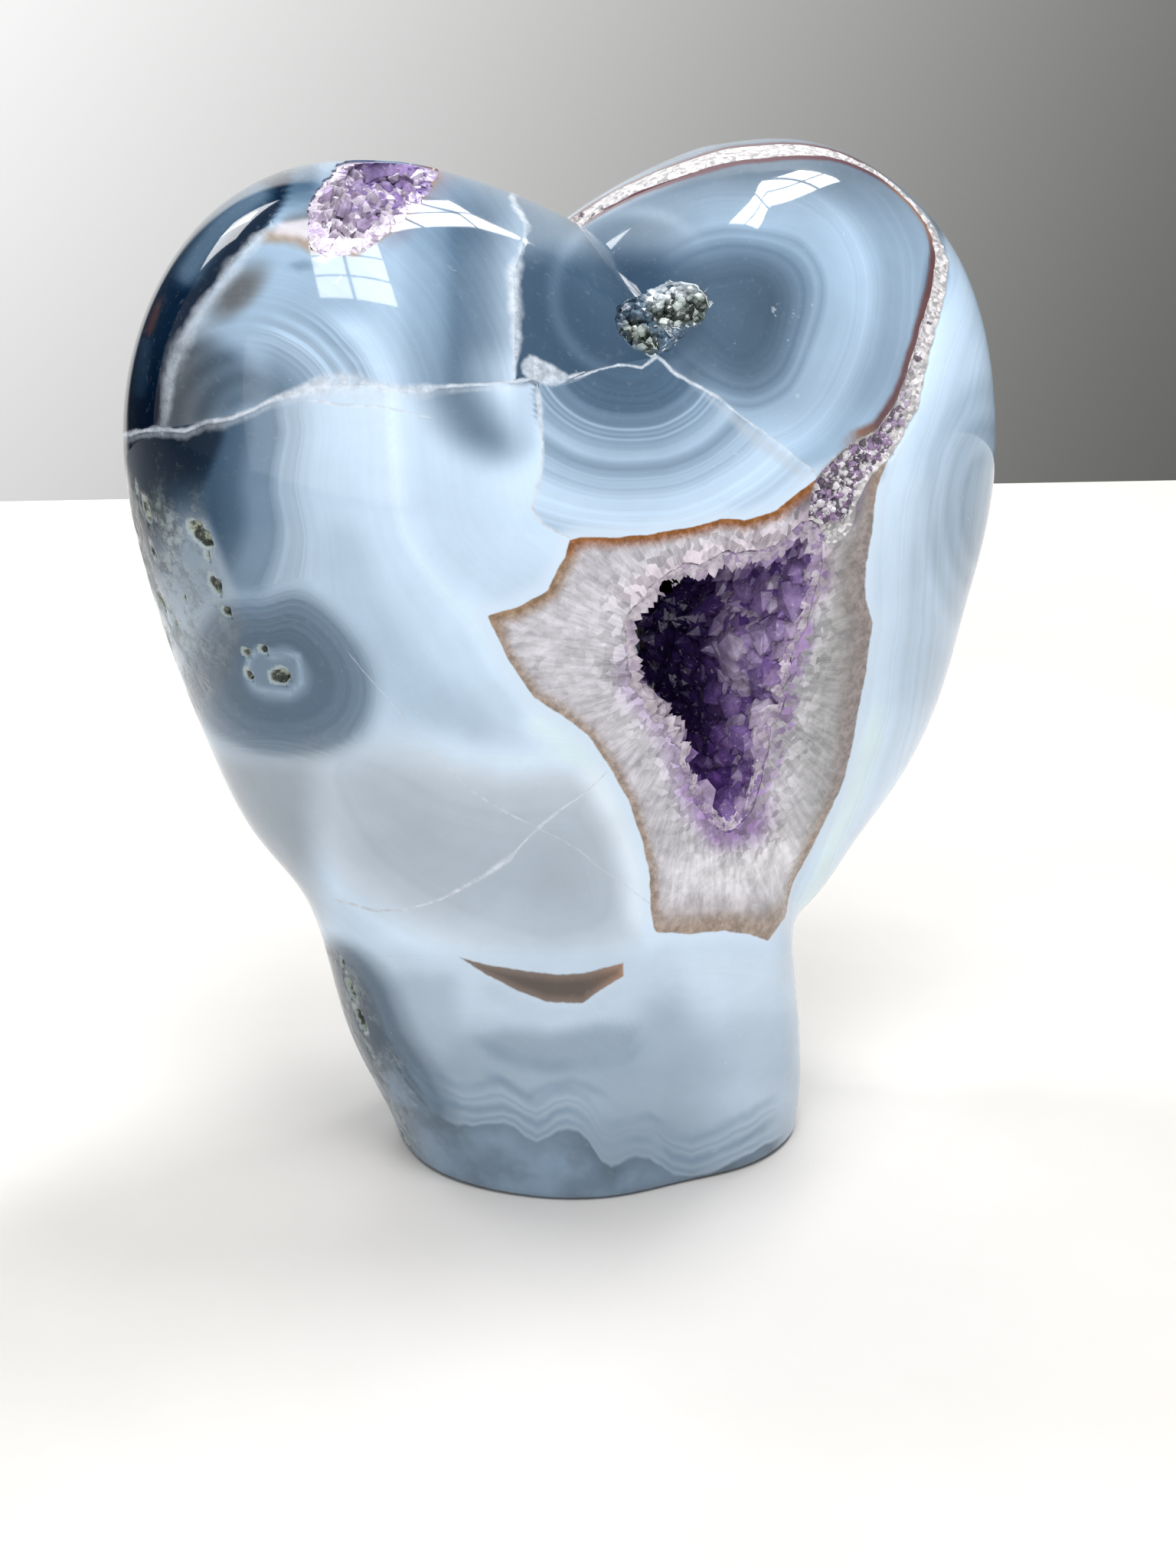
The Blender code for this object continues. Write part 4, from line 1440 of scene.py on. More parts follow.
wedge_share = ramp(tree, attribute(tree, "wedge"), -0.1, 0.9, 0.0, 0.5)
colour = blend(tree, wedge_share, colour, (0.50, 0.56, 0.63, 1))
jag = ramp(tree, noise(tree, where, 330.0, 4.0, 0.62), 0.25, 0.75, -1.0, 1.0)
jag_slow = ramp(tree, noise(tree, where, 150.0, 3.0, 0.6), 0.3, 0.7, -1.0, 1.0)
fine_jag = ramp(tree, noise(tree, where, 1100.0, 3.0, 0.7), 0.25, 0.75, -1.0, 1.0)
lens_in = calc(
    tree, "MINIMUM", line_gap(tree, LENS_TOP, False, 1.0),
    times(tree, line_gap(tree, LENS_LOW, False, 1.0), -1.0),
)
lens_in = minus(tree, lens_in, times_plus(tree, attribute(tree, "front"), -20.0, 20.0))
lens_end = times_plus(tree, attribute(tree, "across"), -1 / PER_MM, 795 / PER_MM)
lens_in = calc(tree, "MINIMUM", lens_in, lens_end)
lens = ramp(tree, times_plus(tree, fine_jag, 0.05, lens_in), -0.04, 0.24)
lens_run = add_node(tree, "SeparateXYZ", {0: where}).outputs[0]
lens_colour = blend(
    tree, ramp(tree, lens_run, -0.009, 0.001), (0.13, 0.10, 0.085, 1), (0.34, 0.19, 0.115, 1)
)
lens_colour = scaled(tree, lens_colour, ramp(tree, lens_in, 0.0, 1.3, 1.5, 0.75))
colour = blend(tree, lens, colour, lens_colour)

# Quartz round the hollow: granular by the mouth, fibrous beyond, brown rimmed.
grain = noise(tree, attribute(tree, "spoke", "Vector"), 1.0, 4.0, 0.65)
facets = add_node(tree, "TexVoronoi", {"Vector": where, "Scale": 1250.0})
facet_value = add_node(tree, "SeparateColor", {0: facets.outputs["Color"]}).outputs[0]
by_mouth = ramp(tree, times_plus(tree, jag, 0.7, attribute(tree, "mouth_gap")), 0.8, 4.8, 1.0, 0.22)
facet_light = times(tree, ramp(tree, facet_value, 0.0, 1.0, -0.34, 0.28), by_mouth)
cloudy = ramp(tree, noise(tree, where, 260.0, 4.0, 0.65), 0.32, 0.68, -0.16, 0.12)
quartz_light = plus(tree, ramp(tree, grain, 0.3, 0.72, 0.76, 1.08), plus(tree, facet_light, cloudy))
quartz_colour = scaled(tree, attribute(tree, "quartz_tint", "Color"), quartz_light)
purple_reach = times_plus(tree, jag, 0.9, attribute(tree, "mouth_gap"))
purple = times(tree, ramp(tree, purple_reach, 0.4, 1.9, 1.0, 0.0), attribute(tree, "purple_side"))
purple = times(tree, purple, ramp(tree, facet_value, 0.35, 0.45, 0.15, 0.90))
quartz_colour = blend(
    tree, purple, quartz_colour,
    scaled(tree, (0.24, 0.15, 0.33), ramp(tree, facet_value, 0.3, 1.0, 0.45, 1.7)),
)
inside = times_plus(tree, jag, 0.10, attribute(tree, "quartz_in"))
quartz = ramp(tree, inside, -0.06, 0.14)
rim_reach_mm = attribute(tree, "rim_wide")
rough_inside = times_plus(tree, fine_jag, 0.22, inside)
rim_fade = ramp(tree, rough_inside, times(tree, rim_reach_mm, 0.12), rim_reach_mm, 1.0, 0.0)
rim_colour = scaled(
    tree, attribute(tree, "rim_tint", "Color"), ramp(tree, fine_jag, -1.0, 1.0, 0.70, 1.25)
)
quartz_colour = blend(tree, rim_fade, quartz_colour, rim_colour)
glow = ramp(tree, attribute(tree, "quartz_in"), -2.2, -0.15)
colour = blend(tree, times(tree, glow, 0.75), colour, (0.70, 0.83, 0.98, 1))
colour = blend(tree, quartz, colour, quartz_colour)

# Healed cracks, milky and uneven.
crack = ramp(tree, times_plus(tree, jag, 0.15, attribute(tree, "chip_in")), -0.1, 0.35, 0.0, 0.85)
for number, (line, downward, share, _, strength) in enumerate(CRACKS):
    gap = calc(tree, "ABSOLUTE", times_plus(tree, jag, 0.10, line_gap(tree, line, downward, share)))
    half = times(
        tree, attribute(tree, f"crack_half_{number}"), ramp(tree, jag_slow, -1.0, 1.0, 0.50, 1.35)
    )
    outer = times_plus(tree, half, 1.50, 0.03)
    shown = ramp(tree, gap, times(tree, half, 0.15), outer, strength, 0.0)
    shown = times(tree, shown, ramp(tree, half, 0.0, 0.03))
    crack = calc(tree, "MAXIMUM", crack, shown)
crack = times(tree, crack, ramp(tree, noise(tree, where, 420.0, 5.0, 0.7), 0.34, 0.58, 0.50, 1.0))
crack = times(tree, crack, minus(tree, 1.0, quartz))
crack_colour = scaled(tree, (0.64, 0.70, 0.78), ramp(tree, fine_jag, -1.0, 1.0, 0.82, 1.14))
colour = blend(tree, crack, colour, crack_colour)

# The seam's brown borders and its quartz bed.
border_gap = times_plus(tree, jag, 0.12, attribute(tree, "seam_near"))
border = times(tree, ramp(tree, border_gap, 0.70, 1.45, 0.95, 0.0), attribute(tree, "seam_border"))
colour = blend(tree, border, colour, attribute(tree, "border_tint", "Color"))
seam = ramp(tree, times_plus(tree, jag, 0.15, attribute(tree, "seam_near")), -0.02, 0.18, 1.0, 0.0)
fine_facets = add_node(tree, "TexVoronoi", {"Vector": where, "Scale": 2600.0})
fine_facet_value = add_node(tree, "SeparateColor", {0: fine_facets.outputs["Color"]}).outputs[0]
seam_colour = scaled(tree, (0.52, 0.50, 0.51), ramp(tree, fine_facet_value, 0.0, 1.0, 0.62, 1.5))
colour = blend(tree, seam, colour, seam_colour)

# Rough rind and pits with a pale green crust.
rough_skin = ramp(tree, noise(tree, where, 240.0, 6.0, 0.7), 0.45, 0.60)
rind_share = times(tree, attribute(tree, "rind"), rough_skin)
crust_mix = ramp(tree, noise(tree, where, 760.0, 4.0, 0.7), 0.42, 0.60)
rind_colour = blend(tree, crust_mix, (0.085, 0.105, 0.10, 1), (0.42, 0.48, 0.48, 1))
colour = blend(tree, times(tree, rind_share, 0.75), colour, rind_colour)
pit_share = attribute(tree, "pit")
pit_edge = times_plus(tree, fine_jag, 0.06, pit_share)
colour = blend(tree, ramp(tree, pit_edge, 0.02, 0.22, 0.0, 0.75), colour, (0.44, 0.52, 0.52, 1))
pit_colour = blend(tree, crust_mix, (0.030, 0.038, 0.030, 1), (0.42, 0.46, 0.38, 1))
colour = blend(tree, ramp(tree, pit_edge, 0.30, 0.50), colour, pit_colour)
tree.links.new(colour, shader.inputs["Base Color"])

polish = plus(tree, times(tree, quartz, 0.08), times(tree, rind_share, 0.35))
polish = times_plus(tree, calc(tree, "MAXIMUM", pit_share, seam), 0.35, polish)
smears = ramp(tree, noise(tree, where, 45.0, 3.0), 0.35, 0.75, 0.035, 0.075)
tree.links.new(plus(tree, polish, smears), shader.inputs["Roughness"])
relief = times(tree, times(tree, quartz, facet_value), times(tree, by_mouth, 0.9))
relief = minus(tree, relief, times(tree, rind_share, 0.8))
relief = minus(tree, relief, times(tree, times(tree, pit_share, crust_mix), 1.5))
relief = plus(tree, relief, times(tree, times(tree, seam, fine_facet_value), 1.0))
relief = minus(tree, relief, times(tree, crack, 0.10))
bump = add_node(tree, "Bump", {"Height": relief, "Strength": 0.6, "Distance": 0.00025})
tree.links.new(bump.outputs[0], shader.inputs["Normal"])
shader.inputs["IOR"].default_value = 1.54
shader.inputs["Specular IOR Level"].default_value = 0.36

heart_mesh.materials.clear()
heart_mesh.materials.append(agate)
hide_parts("agate_heart")
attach(heart, "root")


# The hollow's crust. Amethyst points grown together on a thin quartz lining
# all over the hollow, deep purple inside, lilac to clear near the mouth, and
# ground off flush with the stone's face where they reached it. The deep points
# on the right wall are also painted lighter, some painted white as highlights,
# and the deep points on the left wall are painted darker as painted shade.

CRUST_GAP = 0.00006
CRUST_LINING = 0.0011
LINING_AT_MOUTH = 0.00012
CRUST_COVER = 0.00012
LINING_COLUMNS = 96
LINING_ROWS = 26
CRYSTAL_SIDES = 6
CRYSTAL_CORNERS = 2 * CRYSTAL_SIDES + 1
FULL_DEPTH = 0.026
stone_centre = np.array([HEART_CENTRE[0], 0.0, HEART_CENTRE[1]])


def crystal_mesh(roots, ways, radii, lengths, spins):
    """Six sided points: a slightly tapered prism under a six faced pyramid.

    A corner is root + radius (cos, sin) in the plane across the crystal's
    way, and the tip stands 1.1 radii above the shoulder.
    """
    ways = ways / np.linalg.norm(ways, axis=1, keepdims=True)
    helper = np.where(np.abs(ways[:, 2:]) < 0.9, (0.0, 0.0, 1.0), (1.0, 0.0, 0.0))
    one = np.cross(ways, helper)
    one = one / np.linalg.norm(one, axis=1, keepdims=True)
    two = np.cross(ways, one)
    angle = spins[:, None] + np.arange(CRYSTAL_SIDES) * math.tau / CRYSTAL_SIDES
    chance = np.random.default_rng(5)
    uneven = 1 + 0.16 * chance.uniform(-1, 1, angle.shape)
    arm = np.cos(angle)[..., None] * one[:, None] + np.sin(angle)[..., None] * two[:, None]
    arm = arm * (radii[:, None] * uneven)[..., None]
    lower = roots[:, None] + 1.05 * arm
    upper = roots[:, None] + arm * 0.94 + (ways * lengths[:, None])[:, None]
    lift = lengths + 1.1 * radii
    lean = 0.22 * arm[:, 0]
    tip = (roots + ways * lift[:, None] + lean)[:, None]
    corners = np.concatenate([lower, upper, tip], axis=1)
    ring = np.arange(CRYSTAL_SIDES)
    after = (ring + 1) % CRYSTAL_SIDES
    base = np.arange(len(roots)) * CRYSTAL_CORNERS
    sides = np.stack([ring, after, after + CRYSTAL_SIDES, ring + CRYSTAL_SIDES], axis=1)
    tips = np.full(CRYSTAL_SIDES, CRYSTAL_CORNERS - 1)
    caps = np.stack([ring + CRYSTAL_SIDES, after + CRYSTAL_SIDES, tips], axis=1)
    quads = (base[:, None, None] + sides).reshape(-1, 4).tolist()
    tris = (base[:, None, None] + caps).reshape(-1, 3).tolist()
    floors = (base[:, None] + ring[::-1]).tolist()
    return corners.reshape(-1, 3), quads + tris + floors


def keep_under_face(points, cover):
    """Draws points that would stand proud of the stone back to just under its face."""
    limit = 1 - cover / FULL_DEPTH
    full = fullness(points)
    pull = np.where(full > limit, limit / np.maximum(full, 1e-6), 1.0)
    return np.clip(stone_centre + (points - stone_centre) * pull[:, None], *cad_box)


def put_under_face(points, depths):
    """Moves points along their line from the stone's middle to a depth under its face."""
    for _ in range(3):
        pull = (1 - depths / FULL_DEPTH) / fullness(points)
        points = stone_centre + (points - stone_centre) * pull[:, None]
    return points


def pocket_crust(name, pocket, rows_of_crystals, size_at, seed, reach_out, large_points=0):
    """Lining and crystals of one pocket, and how far in each corner lies.

    rows_of_crystals lists levels; each level takes as many crystals as fit
    round it, size_at gives a crystal's radius range at a level, and reach_out
    is how much the crystals lean out of the pocket. The lining thins to
    nothing at the mouth. Large points stand among the rest on the right wall
    and low down.
    """
    chance = np.random.default_rng(seed)
    last = len(pocket["sections"]) - 1
    turns_fine = np.linspace(0, math.tau, 360, endpoint=False)
    roots = []
    ways = []
    radii = []
    levels = []
    axis_top = np.array(pocket["place"])
    axis_floor = pocket_floor(pocket, 0.0)
    out = pocket_axes(pocket)[2]
    for level in rows_of_crystals:
        inset = CRUST_GAP + 0.4 * CRUST_LINING * float(soft(level, 0.6, 1.4))
        ring = pocket_wall(pocket, turns_fine, np.full(len(turns_fine), level), inset)
        lengths = np.linalg.norm(np.roll(ring, -1, axis=0) - ring, axis=1)
        small, large = size_at(level)
        fit = max(4, int(lengths.sum() / (1.30 * (small + large) / 2)))
        run = np.cumsum(lengths) / lengths.sum()
        angle = np.interp(
            (np.arange(fit) + chance.uniform(-0.35, 0.35, fit)) / fit % 1, run, turns_fine
        )
        deep = np.clip(level + chance.uniform(-0.12, 0.12, fit), 0.3, last)
        root = pocket_wall(pocket, angle, deep, inset)
        share = np.clip(deep / last, 0, 1)[:, None]
        core = axis_top * (1 - share) + axis_floor * share
        way = core - root
        way = way / np.linalg.norm(way, axis=1, keepdims=True)
        way = way + out * reach_out + chance.normal(0, 0.30, way.shape)
        roots.append(root)
        ways.append(way)
        radii.append(chance.uniform(small, large, fit))
        levels.append(deep)
    if large_points:
        angle = chance.uniform(-1.95, 0.75, large_points)
        deep = chance.uniform(0.75, 2.3, large_points)
        root = pocket_wall(pocket, angle, deep, CRUST_GAP + 0.4 * CRUST_LINING)
        way = axis_top - root
        way = way / np.linalg.norm(way, axis=1, keepdims=True)
        roots.append(root)
        ways.append(way + out * 0.7 + chance.normal(0, 0.30, way.shape))
        radii.append(chance.uniform(0.0011, 0.0019, large_points))
        levels.append(deep)
    roots = np.vstack(roots)
    ways = np.vstack(ways)
    radii = np.concatenate(radii)
    levels = np.concatenate(levels)
    lengths = radii * chance.uniform(0.4, 1.6, len(radii))
    spins = chance.uniform(0, math.tau, len(radii))
    corners, crystal_faces = crystal_mesh(roots, ways, radii, lengths, spins)
    columns = LINING_COLUMNS
    rows = LINING_ROWS
    angle = np.linspace(0, math.tau, columns, endpoint=False)[None, :]
    inner_level = np.linspace(0.56, last, rows)[:, None]
    angle, inner_level = np.broadcast_arrays(angle, inner_level)
    thick = LINING_AT_MOUTH + CRUST_LINING * soft(inner_level, 0.55, 1.5)
    inner = pocket_wall(pocket, angle, inner_level, CRUST_GAP + thick)
    outer = pocket_wall(pocket, angle, inner_level, CRUST_GAP)[::-1]
    lining = np.concatenate([inner, outer]).reshape(-1, 3)
    first = len(corners)
    lining_faces = tube_faces(2 * rows, columns, first)
    top = first + np.arange(columns)
    foot_row = first + (2 * rows - 1) * columns + np.arange(columns)
    joint = np.stack([foot_row, top, np.roll(top, -1), np.roll(foot_row, -1)], axis=1)
    points = keep_under_face(np.vstack([corners, lining]), CRUST_COVER)
    made = mesh_object(name, points, crystal_faces + lining_faces + joint.tolist())
    turn_faces_out(made)
    lining_tone = np.concatenate([inner_level, inner_level[::-1]]).ravel() / last
    tone = np.concatenate([np.repeat(levels / last, CRYSTAL_CORNERS), lining_tone])
    pick = np.repeat(chance.uniform(0, 1, len(radii)), CRYSTAL_CORNERS)
    pick = np.concatenate([pick, np.full(len(lining), 0.5)])
    return made, points, tone, pick


def hollow_sizes(level):
    """Smallest and largest radius of the hollow's crystals, which grow going in."""
    if level < 0.8:
        return 0.0003, 0.0007
    if level < 1.3:
        return 0.0004, 0.0010
    if level < 2.2:
        return 0.0005, 0.0012
    return 0.0006, 0.0013


hollow_rows = [
    0.60, 0.66, 0.73, 0.80, 0.88, 0.97, 1.06, 1.16, 1.28, 1.42, 1.56, 1.72, 1.9, 2.1, 2.3, 2.5, 2.7,
    2.9, 3.1, 3.3, 3.5, 3.7, 3.85, 4.0,
]
crust, crust_points, tone, pick = pocket_crust(
    "amethyst_hollow_crust", HOLLOW, hollow_rows, hollow_sizes, 11, 0.45, 70)
crust_spots = seen(crust_points)
crust_across, crust_down = crust_spots.T
deeper = soft(tone, 0.22, 0.40)
purple_and_lit_right = soft(crust_across, 880, 950)
low_share = soft(crust_down, 900, 990)
crust_tint = np.tile((0.84, 0.80, 0.84), (len(crust_points), 1))
crust_tint = lay(crust_tint, (0.6 * (pick > 0.6), (0.70, 0.62, 0.74)))
purple_side = np.maximum(purple_and_lit_right, low_share) * (0.25 + 0.75 * soft(tone, 0.17, 0.24))
# The crust's own lilac and purple, then painted light: deep right points lighter, some white as
# painted highlights, deep left points darker as painted shade.
crust_tint = lay(
    crust_tint,
    (0.6 * purple_side, (0.70, 0.58, 0.80)),
    (0.7 * (pick > 0.6) * purple_side, (0.48, 0.33, 0.66)),
    (0.7 * (pick < 0.22), (0.90, 0.87, 0.92)),
    (deeper, (0.34, 0.23, 0.52)),
    (0.95 * deeper * purple_and_lit_right, (0.72, 0.60, 0.84)),
    (0.75 * deeper * low_share, (0.52, 0.36, 0.70)),
    (0.8 * deeper * purple_and_lit_right * (pick > 0.62), (0.90, 0.86, 0.93)),
    (0.7 * deeper * purple_and_lit_right * (pick < 0.25), (0.38, 0.24, 0.58)),
    (0.6 * deeper * (pick < 0.35) * (1 - purple_and_lit_right), (0.23, 0.16, 0.38)),
    (0.7 * soft(tone, 0.55, 0.8) * (1 - purple_and_lit_right), (0.24, 0.17, 0.40)),
)
keep_colours(crust.data, "crystal_tint", crust_tint)


def crystal_material(name, roughness, clearness, glints):
    """Glassy quartz: each crystal's own tint, cloudy inside, with small white painted highlights as
    glints.
    """
    made, tree, shader = new_material(name)
    where = add_node(tree, "TexCoord").outputs["Object"]
    own = attribute(tree, "crystal_tint", "Color")
    cloudy = ramp(tree, noise(tree, where, 900.0, 4.0, 0.6), 0.3, 0.7, 0.70, 1.30)
    body = scaled(tree, own, cloudy)
    # Painted highlights: small white glints painted into the crystals' colour.
    painted_glints = ramp(tree, noise(tree, where, 2200.0, 2.0, 0.5), 0.62, 0.72, 0.0, glints)
    body = blend(tree, painted_glints, body, (0.86, 0.82, 0.92, 1))
    tree.links.new(body, shader.inputs["Base Color"])
    wave = noise(tree, where, 1600.0, 3.0, 0.6)
    bump = add_node(tree, "Bump", {"Height": wave, "Strength": 0.18, "Distance": 0.0002})
    tree.links.new(bump.outputs[0], shader.inputs["Normal"])
    shader.inputs["Roughness"].default_value = roughness
    shader.inputs["Transmission Weight"].default_value = clearness
    shader.inputs["IOR"].default_value = 1.544
    return made


crust.data.materials.append(crystal_material("amethyst_points", 0.08, 0.35, 0.5))
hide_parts("amethyst_crust")
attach(crust, "root")


# Druse on the left lobe. A shallow patch of small white and lilac quartz
# points, each about a millimetre across, where the saw opened a second pocket.

patch, patch_points, tone, pick = pocket_crust(
    "lobe_druse", LOBE_PATCH, [0.75, 0.9, 1.05, 1.2, 1.4, 1.6, 1.8, 2.0],
    lambda level: (0.0004, 0.0008), 23, 0.9,
)


BED_COVER = 0.00015


def pocket_bed(name, pocket, count, spread, depths, radii_range, seed):
    """Crystals that fill a pocket nearly to its mouth, and which corner is whose."""
    chance = np.random.default_rng(seed)
    right, rise, out = pocket_axes(pocket)
    angle = chance.uniform(0, math.tau, count)
    reach = np.sqrt(chance.uniform(0, 1, count)) * spread
    flat = outline_reach(pocket["mouth"], (0, 0), angle) * reach
    roots = (
        np.array(pocket["place"])
        + (flat * np.cos(angle))[:, None] * right
        + (flat * np.sin(angle))[:, None] * rise
    )
    roots = put_under_face(roots, chance.uniform(*depths, count))
    radii = chance.uniform(*radii_range, count)
    ways = out + chance.normal(0, 0.45, roots.shape)
    points, faces = crystal_mesh(
        roots, ways, radii, radii * chance.uniform(0.6, 1.5, count), chance.uniform(0, 6, count)
    )
    points = keep_under_face(points, BED_COVER)
    made = mesh_object(name, points, faces)
    turn_faces_out(made)
    return made, points, np.repeat(chance.uniform(0, 1, count), CRYSTAL_CORNERS)


floor_druse, bed_points, bed_pick = pocket_bed(
    "lobe_druse_bed", LOBE_PATCH, 620, 0.93, (0.0014, 0.0026), (0.0004, 0.0008), 8
)
for piece, points, chosen in ((patch, patch_points, pick), (floor_druse, bed_points, bed_pick)):
    patch_across, patch_down = seen(points).T
    purple_share = soft(patch_across, 430, 470) * (1 - soft(patch_down, 250, 285))
    lilac = np.tile((0.88, 0.84, 0.90), (len(points), 1))
    lilac = lay(
        lilac,
        (0.5 * (chosen > 0.75), (0.66, 0.56, 0.76)),
        (0.6 * purple_share * (chosen > 0.45), (0.54, 0.42, 0.72)),
        (0.7 * purple_share * (chosen > 0.88), (0.36, 0.24, 0.56)),
        (0.6 * (chosen < 0.10), (0.52, 0.44, 0.56)),
    )
    keep_colours(piece.data, "crystal_tint", lilac)
lilac_quartz = crystal_material("lilac_druse", 0.12, 0.25, 0.6)
for piece in (patch, floor_druse):
    piece.data.materials.append(lilac_quartz)
    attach(piece, "root")
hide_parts("lobe_crust")


# Pit beside the cleft. A few millimetres of dark green-grey crystals with a
# white crust, left in the stone where the two lobes meet.

pit_crust, pit_points, tone, pick = pocket_crust(
    "cleft_druse", CLEFT_PIT, [0.8, 1.0, 1.2, 1.4, 1.7, 2.0], lambda level: (0.0003, 0.0006), 31,
    0.8,
)
pit_bed, pit_bed_points, pit_bed_pick = pocket_bed(
    "cleft_druse_bed", CLEFT_PIT, 300, 0.96, (0.0008, 0.0016), (0.0003, 0.0006), 14
)
for piece, points, chosen in (
    (pit_crust, pit_points, pick),
    (pit_bed, pit_bed_points, pit_bed_pick),
):
    pit_spots = seen(points)
    dark_share = np.maximum(1 - soft(away(pit_spots, [(850, 395), (885, 392)]), 1.4, 2.3),
                            1 - soft(away(pit_spots, [(808, 420), (828, 438)]), 0.7, 1.5))
    white_share = 1 - soft(away(pit_spots, [(832, 378), (862, 370), (880, 368)]), 0.4, 1.5)
    pit_tint = np.tile((0.30, 0.39, 0.47), (len(points), 1))
    pit_tint = lay(
        pit_tint,
        (0.5 * (chosen > 0.8), (0.55, 0.62, 0.68)),
        (0.95 * dark_share, (0.27, 0.31, 0.29)),
        (0.85 * dark_share * (chosen > 0.72), (0.76, 0.80, 0.78)),
        (0.8 * dark_share * (chosen < 0.3), (0.12, 0.18, 0.15)),
        (0.9 * white_share * (chosen > 0.25), (0.88, 0.91, 0.93)),
    )
    keep_colours(piece.data, "crystal_tint", pit_tint)
green_quartz = crystal_material("green_grey_druse", 0.2, 0.1, 0.5)
for piece in (pit_crust, pit_bed):
    piece.data.materials.append(green_quartz)
    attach(piece, "root")
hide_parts("cleft_crust")


# Seam druse. A thin open quartz seam climbs from the hollow over the right
# lobe and along its back edge, filled with points under a millimetre.

SEAM_COVER = 0.00005
SEAM_ROOT_DEPTH = 0.0009

chance = np.random.default_rng(41)
seam_count = 2000
seam_width_share = seam_half / seam_half.sum()
seam_at = np.interp(
    chance.uniform(0, 1, seam_count), np.cumsum(seam_width_share), np.arange(len(seam_half))
)
turn_at = np.interp(seam_at, np.arange(len(seam_steps)), seam_turn)
swing_at = np.interp(seam_at, np.arange(len(seam_steps)), seam_swing)
half_at = np.interp(seam_at, np.arange(len(seam_steps)), seam_half) * 0.001
middle = on_stone(turn_at, swing_at)
out_way = middle - np.array([HEART_CENTRE[0], 0.0, HEART_CENTRE[1] + 0.006])
out_way = out_way / np.linalg.norm(out_way, axis=1, keepdims=True)
seam_next = on_stone(np.interp(seam_at + 1, np.arange(len(seam_steps)), seam_turn),
                     np.interp(seam_at + 1, np.arange(len(seam_steps)), seam_swing))
along_seam = seam_next - middle + 1e-7
along_seam = along_seam / np.linalg.norm(along_seam, axis=1, keepdims=True)
over = np.cross(out_way, along_seam)
over = over / np.maximum(np.linalg.norm(over, axis=1, keepdims=True), 1e-6)
seam_roots = middle + over * (half_at * chance.uniform(-0.95, 0.95, seam_count))[:, None]
seam_roots = put_under_face(seam_roots, np.full(seam_count, SEAM_ROOT_DEPTH))
seam_radii = chance.uniform(0.00022, 0.00050, seam_count)
seam_points, seam_faces = crystal_mesh(
    seam_roots, out_way + chance.normal(0, 0.40, out_way.shape), seam_radii,
    seam_radii * chance.uniform(0.6, 1.6, seam_count), chance.uniform(0, 6, seam_count))
seam_points = keep_under_face(seam_points, SEAM_COVER)
seam_druse = mesh_object("seam_druse", seam_points, seam_faces)
turn_faces_out(seam_druse)
seam_pick = np.repeat(chance.uniform(0, 1, seam_count), CRYSTAL_CORNERS)
low_share = np.repeat(1 - soft(seam_at, 20, 55), CRYSTAL_CORNERS)
top_share = np.repeat(soft(seam_at, 95, 110), CRYSTAL_CORNERS)
seam_tint = np.tile((0.88, 0.87, 0.89), (len(seam_points), 1))
seam_tint = lay(
    seam_tint,
    (0.75 * (seam_pick > 0.88), (0.30, 0.26, 0.30)),
    (0.7 * low_share * (seam_pick < 0.55), (0.50, 0.36, 0.56)),
    (0.8 * low_share * (seam_pick < 0.2), (0.30, 0.26, 0.32)),
    (0.5 * top_share * (seam_pick < 0.6), (0.72, 0.66, 0.64)),
)
keep_colours(seam_druse.data, "crystal_tint", seam_tint)
seam_druse.data.materials.append(crystal_material("seam_quartz", 0.12, 0.15, 0.6))
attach(seam_druse, "root")


# The table and the room. A white table top, painted dark past a line to the
# left as a painted shadow, a wall behind it painted from near white to dark
# grey and near black past its left part as painted shade, and a bright window
# whose panes show in the polish.

TABLE_EDGE = [(0.013, 0.310), (0.233, 0.215)]
TABLE_HALF = 2.0
TABLE_DEEP = 2.6
WALL_BEHIND = 0.5
WALL_HALF = 2.5
WALL_LOW = -0.9
WALL_HIGH = 1.6
edge_start, edge_end = np.array(TABLE_EDGE)
edge_way = (edge_end - edge_start) / np.linalg.norm(edge_end - edge_start)
edge_out = np.array([-edge_way[1], edge_way[0]])
table_corners = [edge_start - TABLE_HALF * edge_way, edge_start + TABLE_HALF * edge_way]
table_corners += [corner - TABLE_DEEP * edge_out for corner in table_corners[::-1]]
floor = mesh_object("table_top", [(x, y, 0.0) for x, y in table_corners], [(3, 2, 1, 0)])
table, tree, shader = new_material("white_table")
where = add_node(tree, "TexCoord").outputs["Object"]
mottle = ramp(tree, noise(tree, where, 9.0, 5.0, 0.6), 0.3, 0.7, 0.0, 1.0)
table_colour = blend(tree, mottle, (0.62, 0.60, 0.575, 1), (0.68, 0.66, 0.64, 1))
along_table = add_node(
    tree, "VectorMath", {0: where, 1: level_right}, operation="DOT_PRODUCT"
).outputs["Value"]
# Painted shadow: past a line to the left the table top is painted dark grey.
shadowed = ramp(tree, along_table, -0.24, -0.15, 1.0, 0.0)
tree.links.new(
    blend(tree, shadowed, table_colour, (0.20, 0.22, 0.24, 1)), shader.inputs["Base Color"]
)
shader.inputs["Roughness"].default_value = 0.45
floor.data.materials.append(table)
wall_middle = edge_start + WALL_BEHIND * edge_out
wall_left, wall_right = wall_middle - WALL_HALF * edge_way, wall_middle + WALL_HALF * edge_way
wall_corners = [
    (*wall_left, WALL_LOW), (*wall_right, WALL_LOW), (*wall_right, WALL_HIGH),
    (*wall_left, WALL_HIGH),
]
wall = mesh_object("wall", wall_corners, [(0, 1, 2, 3)])
plaster, tree, shader = new_material("grey_wall")
where = add_node(tree, "TexCoord").outputs["Object"]
